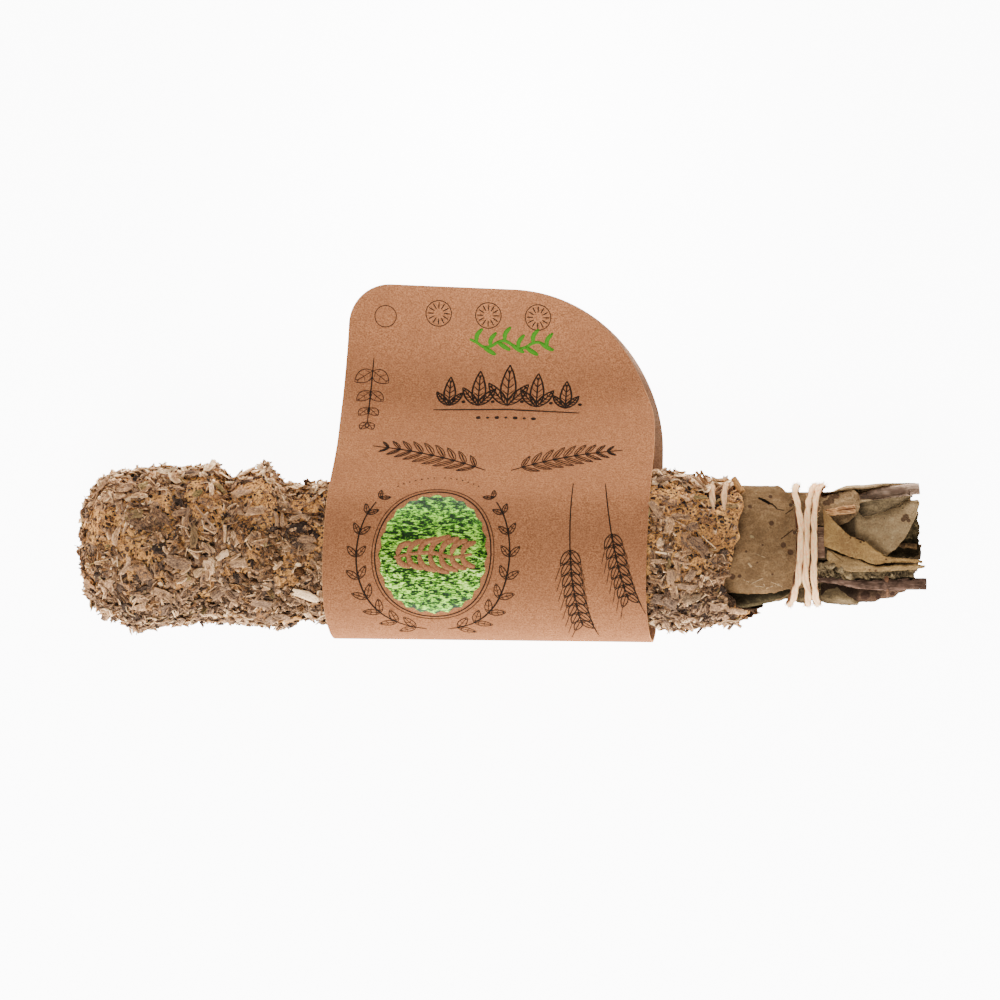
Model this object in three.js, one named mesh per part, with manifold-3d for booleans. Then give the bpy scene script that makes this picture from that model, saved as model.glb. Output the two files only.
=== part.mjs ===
// A dried sage smudge bunch, 200 mm long: long leathery leaves and twigs rolled into a bundle, tied with
// cotton string, coated for most of its length with crumbled sage on resin paste, and held in a folded
// kraft card sleeve. Millimetres, +Z up. The bundle lies along X; the origin is on the surface it lies on,
// under the bundle's axis and midway along it.
import * as THREE from "three";
import { mergeVertices } from "three/addons/utils/BufferGeometryUtils.js";
import Module from "manifold-3d";

const wasm = await Module();
wasm.setup();

// ---------------------------------------------------------------- driving dimensions
const AXIS_HEIGHT = 18.6; // the bundle's axis above the surface it lies on
const COAT_LEFT = -100; // the rounded end of the crumb coat
const COAT_RIGHT = 56; // where the coat stops on its upper side
const LEAN = 0.85; // how far the bundle drifts towards +Y from one end to the other
const COAT_RADIUS = 17.6; // bare paste at the rounded end, without the flakes
const BORE_RADIUS = 13.8; // the hollow of the coat that the leaf bundle fills, where the outer leaves run
const INNER_BORE_RADIUS = 12.2; // and further in, where they have ended
const LEAF_THICKNESS = 0.6;
const STRING_DIAMETER = 1.8;
const CARD_WIDTH = 75.2;
const CARD_THICKNESS = 0.5;
const CARD_GAP = 0.1; // between the card's two flaps, where no glue is
const FLAP_TOP = 64.0; // how far the flaps reach from the bundle's axis
const CARD_BULGE = 22.1; // how far the bend of the card stands out on the other side

const rad = THREE.MathUtils.degToRad;

// ---------------------------------------------------------------- small tools
function seeded(seed) {
  let state = seed >>> 0;
  return () => {
    state = (state + 0x6d2b79f5) >>> 0;
    let t = Math.imul(state ^ (state >>> 15), 1 | state);
    t = (t + Math.imul(t ^ (t >>> 7), 61 | t)) ^ t;
    return ((t ^ (t >>> 14)) >>> 0) / 4294967296;
  };
}

const smooth = (low, high, value) => THREE.MathUtils.smoothstep(value, low, high);
const bump = (value, centre, width) => Math.exp(-(((value - centre) / width) ** 2));

// The same going round the bundle, where 360 degrees is 0 again.
function bumpRound(degrees, centre, width) {
  const apart = Math.abs((((degrees - centre) % 360) + 540) % 360 - 180);
  return bump(apart, 0, width);
}

// A point at an angle and a distance from the bundle's axis. Angles go round the bundle from straight up,
// positive towards +Y.
function aroundAxis(x, degrees, radius) {
  const a = rad(degrees);
  return new THREE.Vector3(x, lean(x) + radius * Math.sin(a), AXIS_HEIGHT + radius * Math.cos(a));
}

function lean(x) {
  return (LEAN * (x + 100)) / 200;
}

// Turns a shape built along the straight X axis into one that leans with the bundle.
function leaned(geometry) {
  const shear = new THREE.Matrix4().makeShear(LEAN / 200, 0, 0, 0, 0, 0).setPosition(0, LEAN / 2, 0);
  return geometry.applyMatrix4(shear);
}

// Straight lines between [position, value] pairs, rounded off by a smoothstep.
function graph(pairs) {
  return (at) => {
    const last = pairs.length - 1;
    if (at <= pairs[0][0]) return pairs[0][1];
    if (at >= pairs[last][0]) return pairs[last][1];
    const i = pairs.findIndex((pair) => pair[0] > at);
    const [p0, v0] = pairs[i - 1];
    const [p1, v1] = pairs[i];
    return v0 + (v1 - v0) * smooth(p0, p1, at);
  };
}

function solidOf(geometry) {
  const bare = geometry.clone();
  bare.deleteAttribute("normal");
  bare.deleteAttribute("uv");
  const merged = mergeVertices(bare, 1e-4);
  return new wasm.Manifold(
    new wasm.Mesh({
      numProp: 3,
      vertProperties: new Float32Array(merged.attributes.position.array),
      triVerts: new Uint32Array(merged.index.array),
    }),
  );
}

function geometryOf(solid) {
  const mesh = solid.getMesh();
  const geometry = new THREE.BufferGeometry();
  geometry.setAttribute("position", new THREE.BufferAttribute(mesh.vertProperties, 3));
  geometry.setIndex(new THREE.BufferAttribute(mesh.triVerts, 1));
  geometry.computeVertexNormals();
  return geometry;
}

// Joins solids two by two, so that the sums stay small.
function join(solids) {
  let level = solids;
  while (level.length > 1) {
    const next = [];
    for (let i = 0; i < level.length; i += 2) {
      next.push(i + 1 < level.length ? level[i].add(level[i + 1]) : level[i]);
    }
    level = next;
  }
  return level[0];
}

// The largest body of a solid: scraps that a cut leaves loose are dropped.
function mainBody(solid) {
  return solid.decompose().reduce((a, b) => (a.volume() > b.volume() ? a : b));
}

// A closed sheet: a box of nx by ny cells whose points place(i, j, k) puts, with i and j from 0 to 1 and k from
// -1 to 1.
function bentSheet(nx, ny, place) {
  const box = new THREE.BoxGeometry(1, 1, 1, nx, ny, 1);
  const points = box.attributes.position;
  for (let n = 0; n < points.count; n++) {
    const p = place(points.getX(n) + 0.5, points.getY(n) + 0.5, points.getZ(n) * 2);
    points.setXYZ(n, p.x, p.y, p.z);
  }
  const solid = solidOf(box);
  return solid.volume() > 0 ? box : turnedInsideOut(box);
}

function turnedInsideOut(geometry) {
  const index = geometry.index.array;
  for (let i = 0; i < index.length; i += 3) [index[i + 1], index[i + 2]] = [index[i + 2], index[i + 1]];
  return geometry;
}

function tube(points, radius, sides, steps, closed = false) {
  const section = new THREE.Shape();
  for (let i = 0; i < sides; i++) {
    const a = (2 * Math.PI * i) / sides;
    if (i === 0) section.moveTo(radius, 0);
    else section.lineTo(radius * Math.cos(a), radius * Math.sin(a));
  }
  const path = new THREE.CatmullRomCurve3(points, closed);
  return new THREE.ExtrudeGeometry(section, { steps, bevelEnabled: false, extrudePath: path });
}

const group = new THREE.Group();

function addPiece(name, geometry, material) {
  const mesh = new THREE.Mesh(geometry, material);
  mesh.name = name;
  group.add(mesh);
}

// ---------------------------------------------------------------- materials
const matt = (color, roughness) => new THREE.MeshStandardMaterial({ color, roughness, metalness: 0 });
const coatMaterial = matt(0x8f7350, 0.95);
const oliveLeaf = matt(0x86714a, 0.75);
const greyLeaf = matt(0x8d8660, 0.75);
const ochreLeaf = matt(0xa3874f, 0.7);
const bark = matt(0x77624f, 0.85);
const paleWood = matt(0xc9a27a, 0.8);
const cotton = matt(0xe8d3c4, 0.95);
const kraft = matt(0xbd8a66, 0.85);

// ---------------------------------------------------------------- how the string squeezes the bundle
// How far the leaf layers are drawn in along the bundle: inside the coat and under the two ties.
const DRAWN_IN = [
  [-100, 0.75], [44, 0.75], [46.8, 0.95], [53.6, 0.95], [56.4, 0.75], [62.5, 0.75], [64.6, 0.65], [66.4, 1.4],
  [77.4, 1.4], [80.6, 0.15], [86, 0], [100, 0],
];

// Straight lines between [position, value, ...] rows; which picks the value.
function along(rows, at, which = 1) {
  const last = rows.length - 1;
  if (at <= rows[0][0]) return rows[0][which];
  if (at >= rows[last][0]) return rows[last][which];
  const i = rows.findIndex((row) => row[0] > at);
  return THREE.MathUtils.mapLinear(at, rows[i - 1][0], rows[i][0], rows[i - 1][which], rows[i][which]);
}

// Positions along a leaf: both ends, each place where the layers bend, and no gap wider than the step.
function stationsOf(x0, x1, step) {
  const fixed = DRAWN_IN.map((row) => row[0]).filter((x) => x > x0 + 1.6 && x < x1 - 1.6);
  const stations = [];
  const ends = [x0, ...fixed, x1];
  for (let n = 1; n < ends.length; n++) {
    const parts = Math.max(1, Math.round((ends[n] - ends[n - 1]) / step));
    for (let k = 0; k < parts; k++) stations.push(ends[n - 1] + ((ends[n] - ends[n - 1]) * k) / parts);
  }
  return [...stations, x1];
}

// One leaf, or the stretch of it that is modelled. Rows of outline give [x, from angle, to angle], and the leaf
// lies on a layer of the given radius; lift(x, share across) raises it locally. Its ends are torn.
function leaf(name, material, { outline, radius, step = 5, degreesPerCell = 14, lift = () => 0, torn = 1, seed }) {
  const random = seeded(seed);
  const x0 = outline[0][0];
  const x1 = outline[outline.length - 1][0];
  const stations = stationsOf(x0, x1, step);
  const nx = stations.length - 1;
  const widest = Math.max(...outline.map((row) => row[2] - row[1]));
  const na = Math.max(3, Math.round(widest / degreesPerCell));
  const tears = [0, 1].map(() => Array.from({ length: na + 1 }, () => random() * 2 - 1));
  const place = (i, j, k) => {
    const column = Math.round(i * nx);
    const row = Math.round(j * na);
    const station = stations[column];
    const pull = column === 0 ? 0.7 * tears[0][row] : column === nx ? torn * tears[1][row] : 0;
    const angle = along(outline, station, 1) * (1 - j) + along(outline, station, 2) * j;
    const middle = radius - along(DRAWN_IN, station) + lift(station, j);
    return aroundAxis(station + pull, angle, middle + (k * LEAF_THICKNESS) / 2);
  };
  addPiece(name, bentSheet(nx, na, place), material);
}

// ---------------------------------------------------------------- leaves that show at the cut end
// The layers, from outside to inside, lie 0.95 mm apart.
const LAYER = [13.8, 12.85, 11.9, 10.9, 9.7];

leaf("wrap_leaf_front", oliveLeaf, {
  outline: [[34, -54, 83], [60, -50, 84], [66.4, -47, 84], [71.3, -45, 82]], radius: LAYER[0], seed: 11,
  degreesPerCell: 12,
});
leaf("wrap_leaf_spotted", greyLeaf, {
  outline: [[60, 26, 94], [78, 24, 93], [81, 28, 80], [82.9, 40, 64]], radius: LAYER[1], seed: 12, torn: 0.3,
});
leaf("wrap_leaf_grey", greyLeaf, {
  outline: [[57, -22, 62], [82, -16, 62], [90.4, -12, 62], [92.3, 8, 62], [94.2, 27, 62], [96.6, 48, 61]],
  radius: LAYER[2], seed: 13, torn: 0.6, step: 3,
});
leaf("folded_leaf_upper", ochreLeaf, {
  outline: [
    [75.0, 2, 34], [76.6, -5, 21], [79.1, -10, 12], [82.1, -16, 9], [83.8, -18.5, 5],
    [85.6, -20, -4], [88.5, -17, -10], [96.4, -18, -14],
  ],
  radius: LAYER[0] + 0.3, lift: (x, j) => 0.35 * j, seed: 14, torn: 0.2, step: 3, degreesPerCell: 8,
});
leaf("folded_leaf_lower", oliveLeaf, {
  outline: [[75.6, -15, -3], [77.5, -26, -7], [85, -28, -17], [93, -26, -14], [97.6, -22, -17]],
  radius: LAYER[1] + 0.25, seed: 15, torn: 0.3, step: 3.5, degreesPerCell: 6,
});
leaf("wrap_leaf_crumpled", oliveLeaf, {
  outline: [[58, -36, -25], [75, -36, -20], [80, -38, -18], [95.4, -37, -20]], radius: LAYER[2], seed: 22,
  lift: (x, j) => 0.22 * Math.sin(x * 1.9 + 3 * j) * smooth(79, 82, x), degreesPerCell: 5, step: 2.6, torn: 0.8,
});
leaf("wrap_leaf_bottom", greyLeaf, {
  outline: [[57, -116, -57], [80, -112, -57], [93, -106, -64]], radius: LAYER[1], seed: 16, torn: 1.6,
  lift: (x) => 0.9 * smooth(77, 82, x),
});
leaf("wrap_leaf_side", oliveLeaf, {
  outline: [[36, -146, -61], [70.5, -142, -60]], radius: LAYER[0], seed: 17,
});
leaf("wrap_leaf_under", oliveLeaf, {
  outline: [[52, 126, 231], [94.5, 132, 236]], radius: LAYER[1], seed: 18, torn: 1.5, step: 6,
});
leaf("wrap_leaf_back", greyLeaf, {
  outline: [[40, 99, 206], [80, 101, 190], [96, 106, 176]], radius: LAYER[0], seed: 19, torn: 1.4, step: 6,
});
leaf("bark_strip", bark, {
  outline: [[70.4, -15, 21], [74.4, -14, 22]], radius: LAYER[1], seed: 20, torn: 0.15, step: 2,
  degreesPerCell: 6,
});

// ---------------------------------------------------------------- packed leaves, which run on inside the coat
const PACKED = [
  // left end, right end, layer, from angle, to angle
  [-84, 56, 2, -118, -62],
  [-88, 96.5, 3, -28, 62],
  [-80, 96, 2, 106, 234],
  [-90, 94.5, 3, 112, 286],
  [-76, 97, 4, -128, -60],
  [-88, 96.8, 4, -26, 64],
  [-70, 97.4, 4, 108, 222],
];
PACKED.forEach(([x0, x1, layer, from, to], n) => {
  leaf(`packed_leaf_${n + 1}`, n % 2 ? greyLeaf : oliveLeaf, {
    outline: [[x0, from + 12, to - 12], [x0 + 30, from, to], [x1, from, to]], radius: LAYER[layer],
    seed: 40 + n, step: 60, degreesPerCell: 22,
  });
});

// ---------------------------------------------------------------- rolled leaves at the heart of the bundle
const ROLL_PITCH = 1.1; // from one turn of a rolled leaf to the next
const ROLLS = [
  // y and z from the axis, outer radius, turns, left end, right end, first angle
  [-3.1, -1.8, 4.1, 2.5, -90, 97, 40],
  [4.0, 1.2, 3.3, 1.9, -82, 95.5, 200],
  [2.6, -5.0, 2.1, 1.1, -86, 96.4, 310],
  [-1.6, 5.1, 2.3, 1.2, -74, 97.6, 120],
];

function spiral(outerRadius, turns, firstAngle) {
  const shape = new THREE.Shape();
  const steps = Math.round(turns * 11);
  const edge = (inwards, n) => {
    const turned = (turns * n) / steps;
    const radius = outerRadius - ROLL_PITCH * turned - inwards;
    const a = rad(firstAngle) + 2 * Math.PI * turned;
    return [radius * Math.cos(a), radius * Math.sin(a)];
  };
  shape.moveTo(...edge(0, 0));
  for (let n = 1; n <= steps; n++) shape.lineTo(...edge(0, n));
  for (let n = steps; n >= 0; n--) shape.lineTo(...edge(LEAF_THICKNESS, n));
  return shape;
}

ROLLS.forEach(([y, z, outerRadius, turns, x0, x1, firstAngle], n) => {
  const roll = new THREE.ExtrudeGeometry(spiral(outerRadius, turns, firstAngle), {
    depth: x1 - x0, steps: 1, bevelEnabled: false,
  });
  roll.rotateZ(Math.PI / 2).rotateY(Math.PI / 2); // the extrusion now runs along X
  roll.translate(x0, y, AXIS_HEIGHT + z);
  leaned(roll);
  addPiece(`rolled_leaf_${n + 1}`, roll, n % 2 ? oliveLeaf : greyLeaf);
});

// ---------------------------------------------------------------- twigs
// Each twig is a tube through [x, angle, distance from the axis], with knots fused to it, each given by a share of
// its length and an angle.
function twig(name, material, { at, diameter, knots, sides = 8, steps }) {
  const points = at.map(([x, degrees, distance]) => aroundAxis(x, degrees, distance));
  const solids = [solidOf(tube(points, diameter / 2, sides, steps))];
  const path = new THREE.CatmullRomCurve3(points);
  for (const [share, degrees] of knots) {
    const knot = new THREE.ConeGeometry(diameter * 0.42, diameter * 1.3, 5, 1);
    knot.rotateX(rad(degrees));
    const stand = path.getPointAt(share);
    stand.y += Math.cos(rad(degrees)) * diameter * 0.35;
    stand.z += Math.sin(rad(degrees)) * diameter * 0.35;
    knot.translate(stand.x, stand.y, stand.z);
    solids.push(solidOf(knot));
  }
  addPiece(name, geometryOf(join(solids)), material);
}

twig("twig_lower", bark, {
  at: [
    [-84, -46, 10.1], [30, -46, 10.2], [62, -47, 10.4], [75, -47, 10.5], [84, -48, 12.2], [98.6, -48, 12.3],
  ],
  diameter: 2.4, knots: [[0.975, 62], [0.93, 150]], steps: 14,
});
twig("twig_upper", bark, {
  at: [
    [-40, 85, 10.4], [50, 84, 10.3], [66, 83, 9.65], [78.5, 83, 9.6], [84.6, 81, 11.1], [88.4, 79, 12.4],
    [97.6, 77, 13.6],
  ],
  diameter: 2.1, knots: [[0.95, 80]], steps: 12,
});
twig("twig_broken", paleWood, {
  at: [[76.9, 37.6, 13.1], [79.4, 37.4, 13.85], [82.2, 39.4, 14.25]], diameter: 1.9, knots: [], steps: 3, sides: 6,
});
twig("stem_inner_1", bark, {
  at: [[-70, 120, 6.6], [96, 120, 6.6]], diameter: 1.8, knots: [], steps: 1, sides: 6,
});
twig("stem_inner_2", bark, {
  at: [[-60, -55, 6.8], [97, -55, 6.8]], diameter: 1.5, knots: [], steps: 1, sides: 6,
});

// ---------------------------------------------------------------- cotton string
const STRING_RADIUS_END = 14.0; // the middle of the string, from the bundle's axis
const STRING_RADIUS_MID = 14.4;

// A turn of string round the bundle: x is given at angles that go once round, and the ends overlap.
function turnOfString(xAt, radius, sides = 6, steps = 18) {
  const points = [];
  for (let degrees = 180; degrees > -190; degrees -= 15) {
    points.push(aroundAxis(xAt(degrees < -180 ? degrees + 360 : degrees), degrees, radius));
  }
  return solidOf(tube(points, STRING_DIAMETER / 2, sides, steps));
}

function endTie() {
  const turns = [
    [[-180, 70.3], [-85, 67.4], [-30, 68.9], [20, 68.9], [60, 68.2], [90, 68.8], [180, 70.3]],
    [[-180, 71.9], [-85, 72.1], [-30, 70.5], [20, 70.5], [60, 72.4], [90, 73.8], [180, 71.9]],
    [[-180, 73.5], [-85, 74.2], [-30, 72.1], [20, 72.1], [60, 74.0], [90, 75.4], [180, 73.5]],
  ].map((pairs) => turnOfString(graph(pairs), STRING_RADIUS_END));
  // the knot and its two short tails, under the bundle
  const knotZ = AXIS_HEIGHT - STRING_RADIUS_END;
  const knot = new THREE.TorusGeometry(1.3, STRING_DIAMETER / 2, 6, 10);
  knot.translate(71.9, 0, knotZ - 0.4);
  const tails = [-1, 1].map((side) => tube(
    [[0, 0.8, -0.3], [1.5, 2.2, -1.0], [4, 3.4, -1.0], [7, 4.2, -0.9]].map(
      ([dx, dy, dz]) => new THREE.Vector3(71.9 + side * dx * 0.7, side * dy, knotZ + dz)),
    STRING_DIAMETER / 2, 6, 6));
  return join([...turns, solidOf(knot), ...tails.map(solidOf)]);
}
addPiece("string_tie_end", geometryOf(endTie()), cotton);

function midTie() {
  return join([
    [[-180, 49.2], [0, 48.1], [180, 49.2]],
    [[-180, 50.2], [0, 50.2], [45, 51.0], [90, 52.2], [180, 50.2]],
  ].map((pairs) => turnOfString(graph(pairs), STRING_RADIUS_MID)));
}
addPiece("string_tie_middle", geometryOf(midTie()), cotton);

// ---------------------------------------------------------------- crumb coat
const COAT_SIDES = 30;
const BORE_LEFT = -92;
const BORE_STEP = 32.8;
const PATCH_ANGLE = 62; // the thin patch where the middle tie shows

// How far the paste reaches from the axis on the bundle's two sides, along its length: [x, on +Y, on -Y].
const COAT_SIDES_REACH = [
  [-100, 17.4, 15.8], [-91, 17.4, 15.8], [-87.5, 17.9, 19.0], [-80, 18.6, 17.3], [-75, 18.1, 16.8],
  [-69, 19.4, 16.3], [-65, 15.5, 16.5], [-61, 17.2, 17.2], [-57, 19.3, 17.6], [-53, 14.7, 18.0],
  [-48, 14.2, 15.7], [-42, 14.8, 16.9], [-38, 16.6, 16.8], [34, 17.2, 17.4], [38, 17.3, 18.2],
  [44, 16.5, 18.3], [49, 15.8, 17.0], [54, 15.7, 17.2], [57, 15.4, 15.6], [62, 14.6, 15.9],
];

// The paste's outer radius, with its lumps.
function coatRadius(x, degrees) {
  const underCard = smooth(-42, -38, x) * (1 - smooth(32, 36, x));
  const a = rad(degrees);
  const side = (1 + Math.sin(a)) / 2;
  const lumpy = (1 - 0.8 * underCard) * (1 - 0.6 * smooth(40, 50, x)) * (1 - Math.abs(Math.sin(a)) ** 3);
  const waves = [Math.sin(0.21 * x + 2 * a + 1), Math.sin(0.43 * x - 3 * a), Math.sin(5 * a + 0.3 * x)];
  const lumps = lumpy * (0.35 * waves[0] + 0.25 * waves[1] + 0.25 * waves[2]);
  const bare = along(COAT_SIDES_REACH, x, 1) * side + along(COAT_SIDES_REACH, x, 2) * (1 - side);
  const patch = 2 * bump(x, 49.5, 5.5) * bumpRound(degrees, PATCH_ANGLE, 30);
  return bare + lumps - patch - lean(x) * Math.sin(a);
}

function coatBody() {
  const END_ROUND = 9; // how far the rounded end reaches along the coat
  const outer = [];
  for (const share of [0, 0.22, 0.42, 0.6, 0.78, 0.92]) {
    const x = COAT_LEFT + END_ROUND * (1 - Math.sqrt(1 - share ** 2.6));
    outer.push([share * COAT_RADIUS, x]);
  }
  const stops = [COAT_LEFT + 8, -87, -80, -73, -68, -65, -61, -57, -53, -48, -42, -20, 10, 31, 36, 41, 46, 51];
  stops.push(COAT_RIGHT);
  for (const x of stops) outer.push([COAT_RADIUS, x]);
  const bore = [[BORE_RADIUS, COAT_RIGHT], [BORE_RADIUS, BORE_STEP], [INNER_BORE_RADIUS, BORE_STEP]];
  const profile = [...outer, ...bore, [INNER_BORE_RADIUS, BORE_LEFT], [0, BORE_LEFT]];
  const lathe = new THREE.LatheGeometry(profile.map(([r, x]) => new THREE.Vector2(r, x)), COAT_SIDES);
  const points = lathe.attributes.position;
  for (let n = 0; n < points.count; n++) {
    const x = points.getY(n);
    const r = Math.hypot(points.getX(n), points.getZ(n));
    const onAxis = r < 1e-6;
    const degrees = onAxis ? 0 : THREE.MathUtils.radToDeg(Math.atan2(points.getX(n), points.getZ(n)));
    const isBore = n % profile.length >= outer.length;
    let radius = r;
    let along = x;
    if (!isBore) {
      radius = (r / COAT_RADIUS) * coatRadius(x, degrees);
      if (r < COAT_RADIUS - 0.01) along += 0.5 * Math.sin(r + degrees * 0.05);
    }
    // the coat runs further along the bundle low down on one side, and its edge is uneven
    if (x > 46) {
      const ragged = 1.1 * Math.sin(rad(degrees * 5)) + 0.8 * Math.sin(rad(degrees * 9) + 2);
      const reach = 7.5 * bumpRound(degrees, 265, 50) + ragged;
      along += reach * smooth(46, COAT_RIGHT, x);
    }
    const p = aroundAxis(along, degrees, radius);
    points.setXYZ(n, p.x, p.y, Math.max(p.z, 0.45));
  }
  const solid = solidOf(lathe);
  return solid.volume() > 0 ? solid : solidOf(turnedInsideOut(lathe));
}

// A flake of crumbled leaf: a chip with an irregular outline, tilted, its underside tapering to a root that is
// sunk in the paste. Built at the origin, its face towards +Z.
function chip(random, size, tilt) {
  const corners = 4;
  const points = [[0, 0, -1.4]];
  const stretch = 1.15 + 0.45 * random();
  for (let n = 0; n < corners; n++) {
    const a = (2 * Math.PI * (n + 0.45 * random())) / corners;
    const r = size * (0.42 + 0.16 * random());
    const x = r * Math.cos(a) * stretch;
    points.push([x, r * Math.sin(a), x * Math.tan(rad(tilt))]);
  }
  return wasm.Manifold.hull(points);
}

// Moves a chip onto the paste, its face looking along a normal and turned by an angle.
function planted(solid, at, normal, turn) {
  const up = new THREE.Vector3(0, 0, 1);
  const place = new THREE.Matrix4().makeRotationFromQuaternion(
    new THREE.Quaternion().setFromUnitVectors(up, normal.normalize()));
  place.multiply(new THREE.Matrix4().makeRotationZ(turn)).setPosition(at);
  return solid.transform(place.elements);
}

function flake(random, x, degrees, size) {
  const normal = new THREE.Vector3(0, Math.sin(rad(degrees)), Math.cos(rad(degrees)));
  const lift = 0.3 + 0.35 * random();
  const at = aroundAxis(x, degrees, coatRadius(x, degrees) + lift);
  return planted(chip(random, size, 6 + 16 * random()), at, normal, random() * 2 * Math.PI);
}

function endFlake(random, degrees, share, size) {
  const x = COAT_LEFT + 9 * (1 - Math.sqrt(1 - share ** 2.6));
  const at = aroundAxis(x, degrees, share * COAT_RADIUS);
  const out = share ** 1.8;
  const normal = new THREE.Vector3(-1, out * Math.sin(rad(degrees)), out * Math.cos(rad(degrees)));
  at.addScaledVector(normal.clone().normalize(), 0.35);
  return planted(chip(random, size, 5 + 10 * random()), at, normal, random() * 2 * Math.PI);
}

function crumbCoat() {
  const random = seeded(5);
  const solids = [];
  const FLAKE_SPACING = 5.7;
  const bands = [[COAT_LEFT + 7, -38.5], [31.5, COAT_RIGHT - 1]];
  for (const [left, right] of bands) {
    const rings = Math.round((right - left) / FLAKE_SPACING);
    for (let ring = 0; ring < rings; ring++) {
      const x = left + ((ring + 0.5) * (right - left)) / rings;
      const count = 17;
      for (let n = 0; n < count; n++) {
        const degrees = ((n + 0.5 * (ring % 2) + 0.5 * random()) * 360) / count;
        const at = x + (random() - 0.5) * 2.4;
        solids.push(flake(random, at, degrees, 3.2 + 1.6 * random()));
      }
    }
  }
  for (const [share, count] of [[0, 1], [0.36, 5], [0.64, 8], [0.86, 11]]) {
    for (let n = 0; n < count; n++) {
      solids.push(endFlake(random, ((n + 0.6 * random()) * 360) / count, share, 3.4 + 1.4 * random()));
    }
  }
  const stub = new THREE.CylinderGeometry(0.9, 1.0, 6, 6, 1); // the end of a stem that pokes out of the paste
  stub.rotateX(rad(80));
  stub.translate(54.3, 14.2, AXIS_HEIGHT + 3);
  return join([coatBody(), ...solids, solidOf(stub)]);
}

// What the coat leaves free: the bundle's bore, a channel round the middle tie, and the surface it lies on.
function boreTool() {
  return join([[BORE_RADIUS, BORE_STEP], [INNER_BORE_RADIUS, BORE_LEFT]].map(([radius, left]) => {
    const bore = new THREE.CylinderGeometry(radius, radius, 80 - left, COAT_SIDES, 1);
    bore.rotateZ(Math.PI / 2);
    bore.translate((80 + left) / 2, 0, AXIS_HEIGHT);
    leaned(bore);
    return solidOf(bore);
  }));
}

function tieChannel() {
  const channelRadius = STRING_RADIUS_MID + STRING_DIAMETER / 2 + 0.3;
  const channel = new THREE.CylinderGeometry(channelRadius, channelRadius, 6.6, COAT_SIDES, 1);
  channel.rotateZ(Math.PI / 2);
  channel.translate(50.0, lean(50), AXIS_HEIGHT);
  return solidOf(channel);
}

function tableTool() {
  const slab = new THREE.BoxGeometry(240, 80, 20);
  slab.translate(0, 0, -10 + 0.25);
  return solidOf(slab);
}

// ---------------------------------------------------------------- folded card sleeve
const BACK_Z = CARD_THICKNESS / 2;
const FRONT_Z = BACK_Z + CARD_THICKNESS + CARD_GAP;
const WRAP_RADIUS = 18.35; // middle of the card where it lies on the bundle
const RISE = 50; // the slope of the card, in degrees, where it climbs onto the bundle
const FLAT_FROM = 4; // the underside is flat from this far on the bend's side of the axis

// The card's middle line in the Y-Z plane, from the front flap's top over the bundle and back under it.
function cardLine() {
  const slope = rad(RISE);
  const touch = new THREE.Vector2(WRAP_RADIUS * Math.sin(slope), AXIS_HEIGHT + WRAP_RADIUS * Math.cos(slope));
  const cornerY = touch.x + (touch.y - FRONT_Z) / Math.tan(rad(RISE));
  const BEND = 8; // how far the bend reaches on each side of the corner
  const line = new THREE.Path();
  line.moveTo(FLAP_TOP, FRONT_Z);
  line.lineTo(cornerY + BEND, FRONT_Z);
  line.quadraticCurveTo(
    cornerY, FRONT_Z, cornerY - BEND * Math.cos(rad(RISE)), FRONT_Z + BEND * Math.sin(rad(RISE)));
  line.lineTo(touch.x, touch.y);
  line.absarc(0, AXIS_HEIGHT, WRAP_RADIUS, rad(90 - RISE), rad(90), false);
  line.absellipse(0, AXIS_HEIGHT, CARD_BULGE, WRAP_RADIUS, rad(90), rad(180), false, 0);
  line.absellipse(-FLAT_FROM, AXIS_HEIGHT, CARD_BULGE - FLAT_FROM, WRAP_RADIUS, rad(180), rad(270), false, 0);
  line.lineTo(FLAP_TOP, BACK_Z);
  return line;
}

// Where the middle of the card's width lies, by the share of its length from the front flap's top.
const CARD_CENTRE = [
  [0, -0.1], [0.06, -0.5], [0.11, -1.4], [0.16, -2.0], [0.234, -2.6], [0.26, -3.2], [0.32, -4.3], [0.38, -5.1],
  [0.43, -5.3], [0.48, -4.4], [0.54, -2.7], [0.6, -1.2], [0.69, -0.2], [0.8, 0.4], [1, 0.4],
];

function cardCentre(share) {
  return (along(CARD_CENTRE, share - 0.02) + along(CARD_CENTRE, share) + along(CARD_CENTRE, share + 0.02)) / 3;
}

const CORNER_LEFT = 10;
const CORNER_RIGHT = { across: 36, along: 38 };

// How far an elliptical corner takes an edge in, at a distance from the card's end.
function cornerInset(across, along, distance) {
  if (distance >= along) return 0;
  return across * (1 - Math.sqrt(Math.max(0, 1 - ((along - distance) / along) ** 2)));
}

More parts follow.
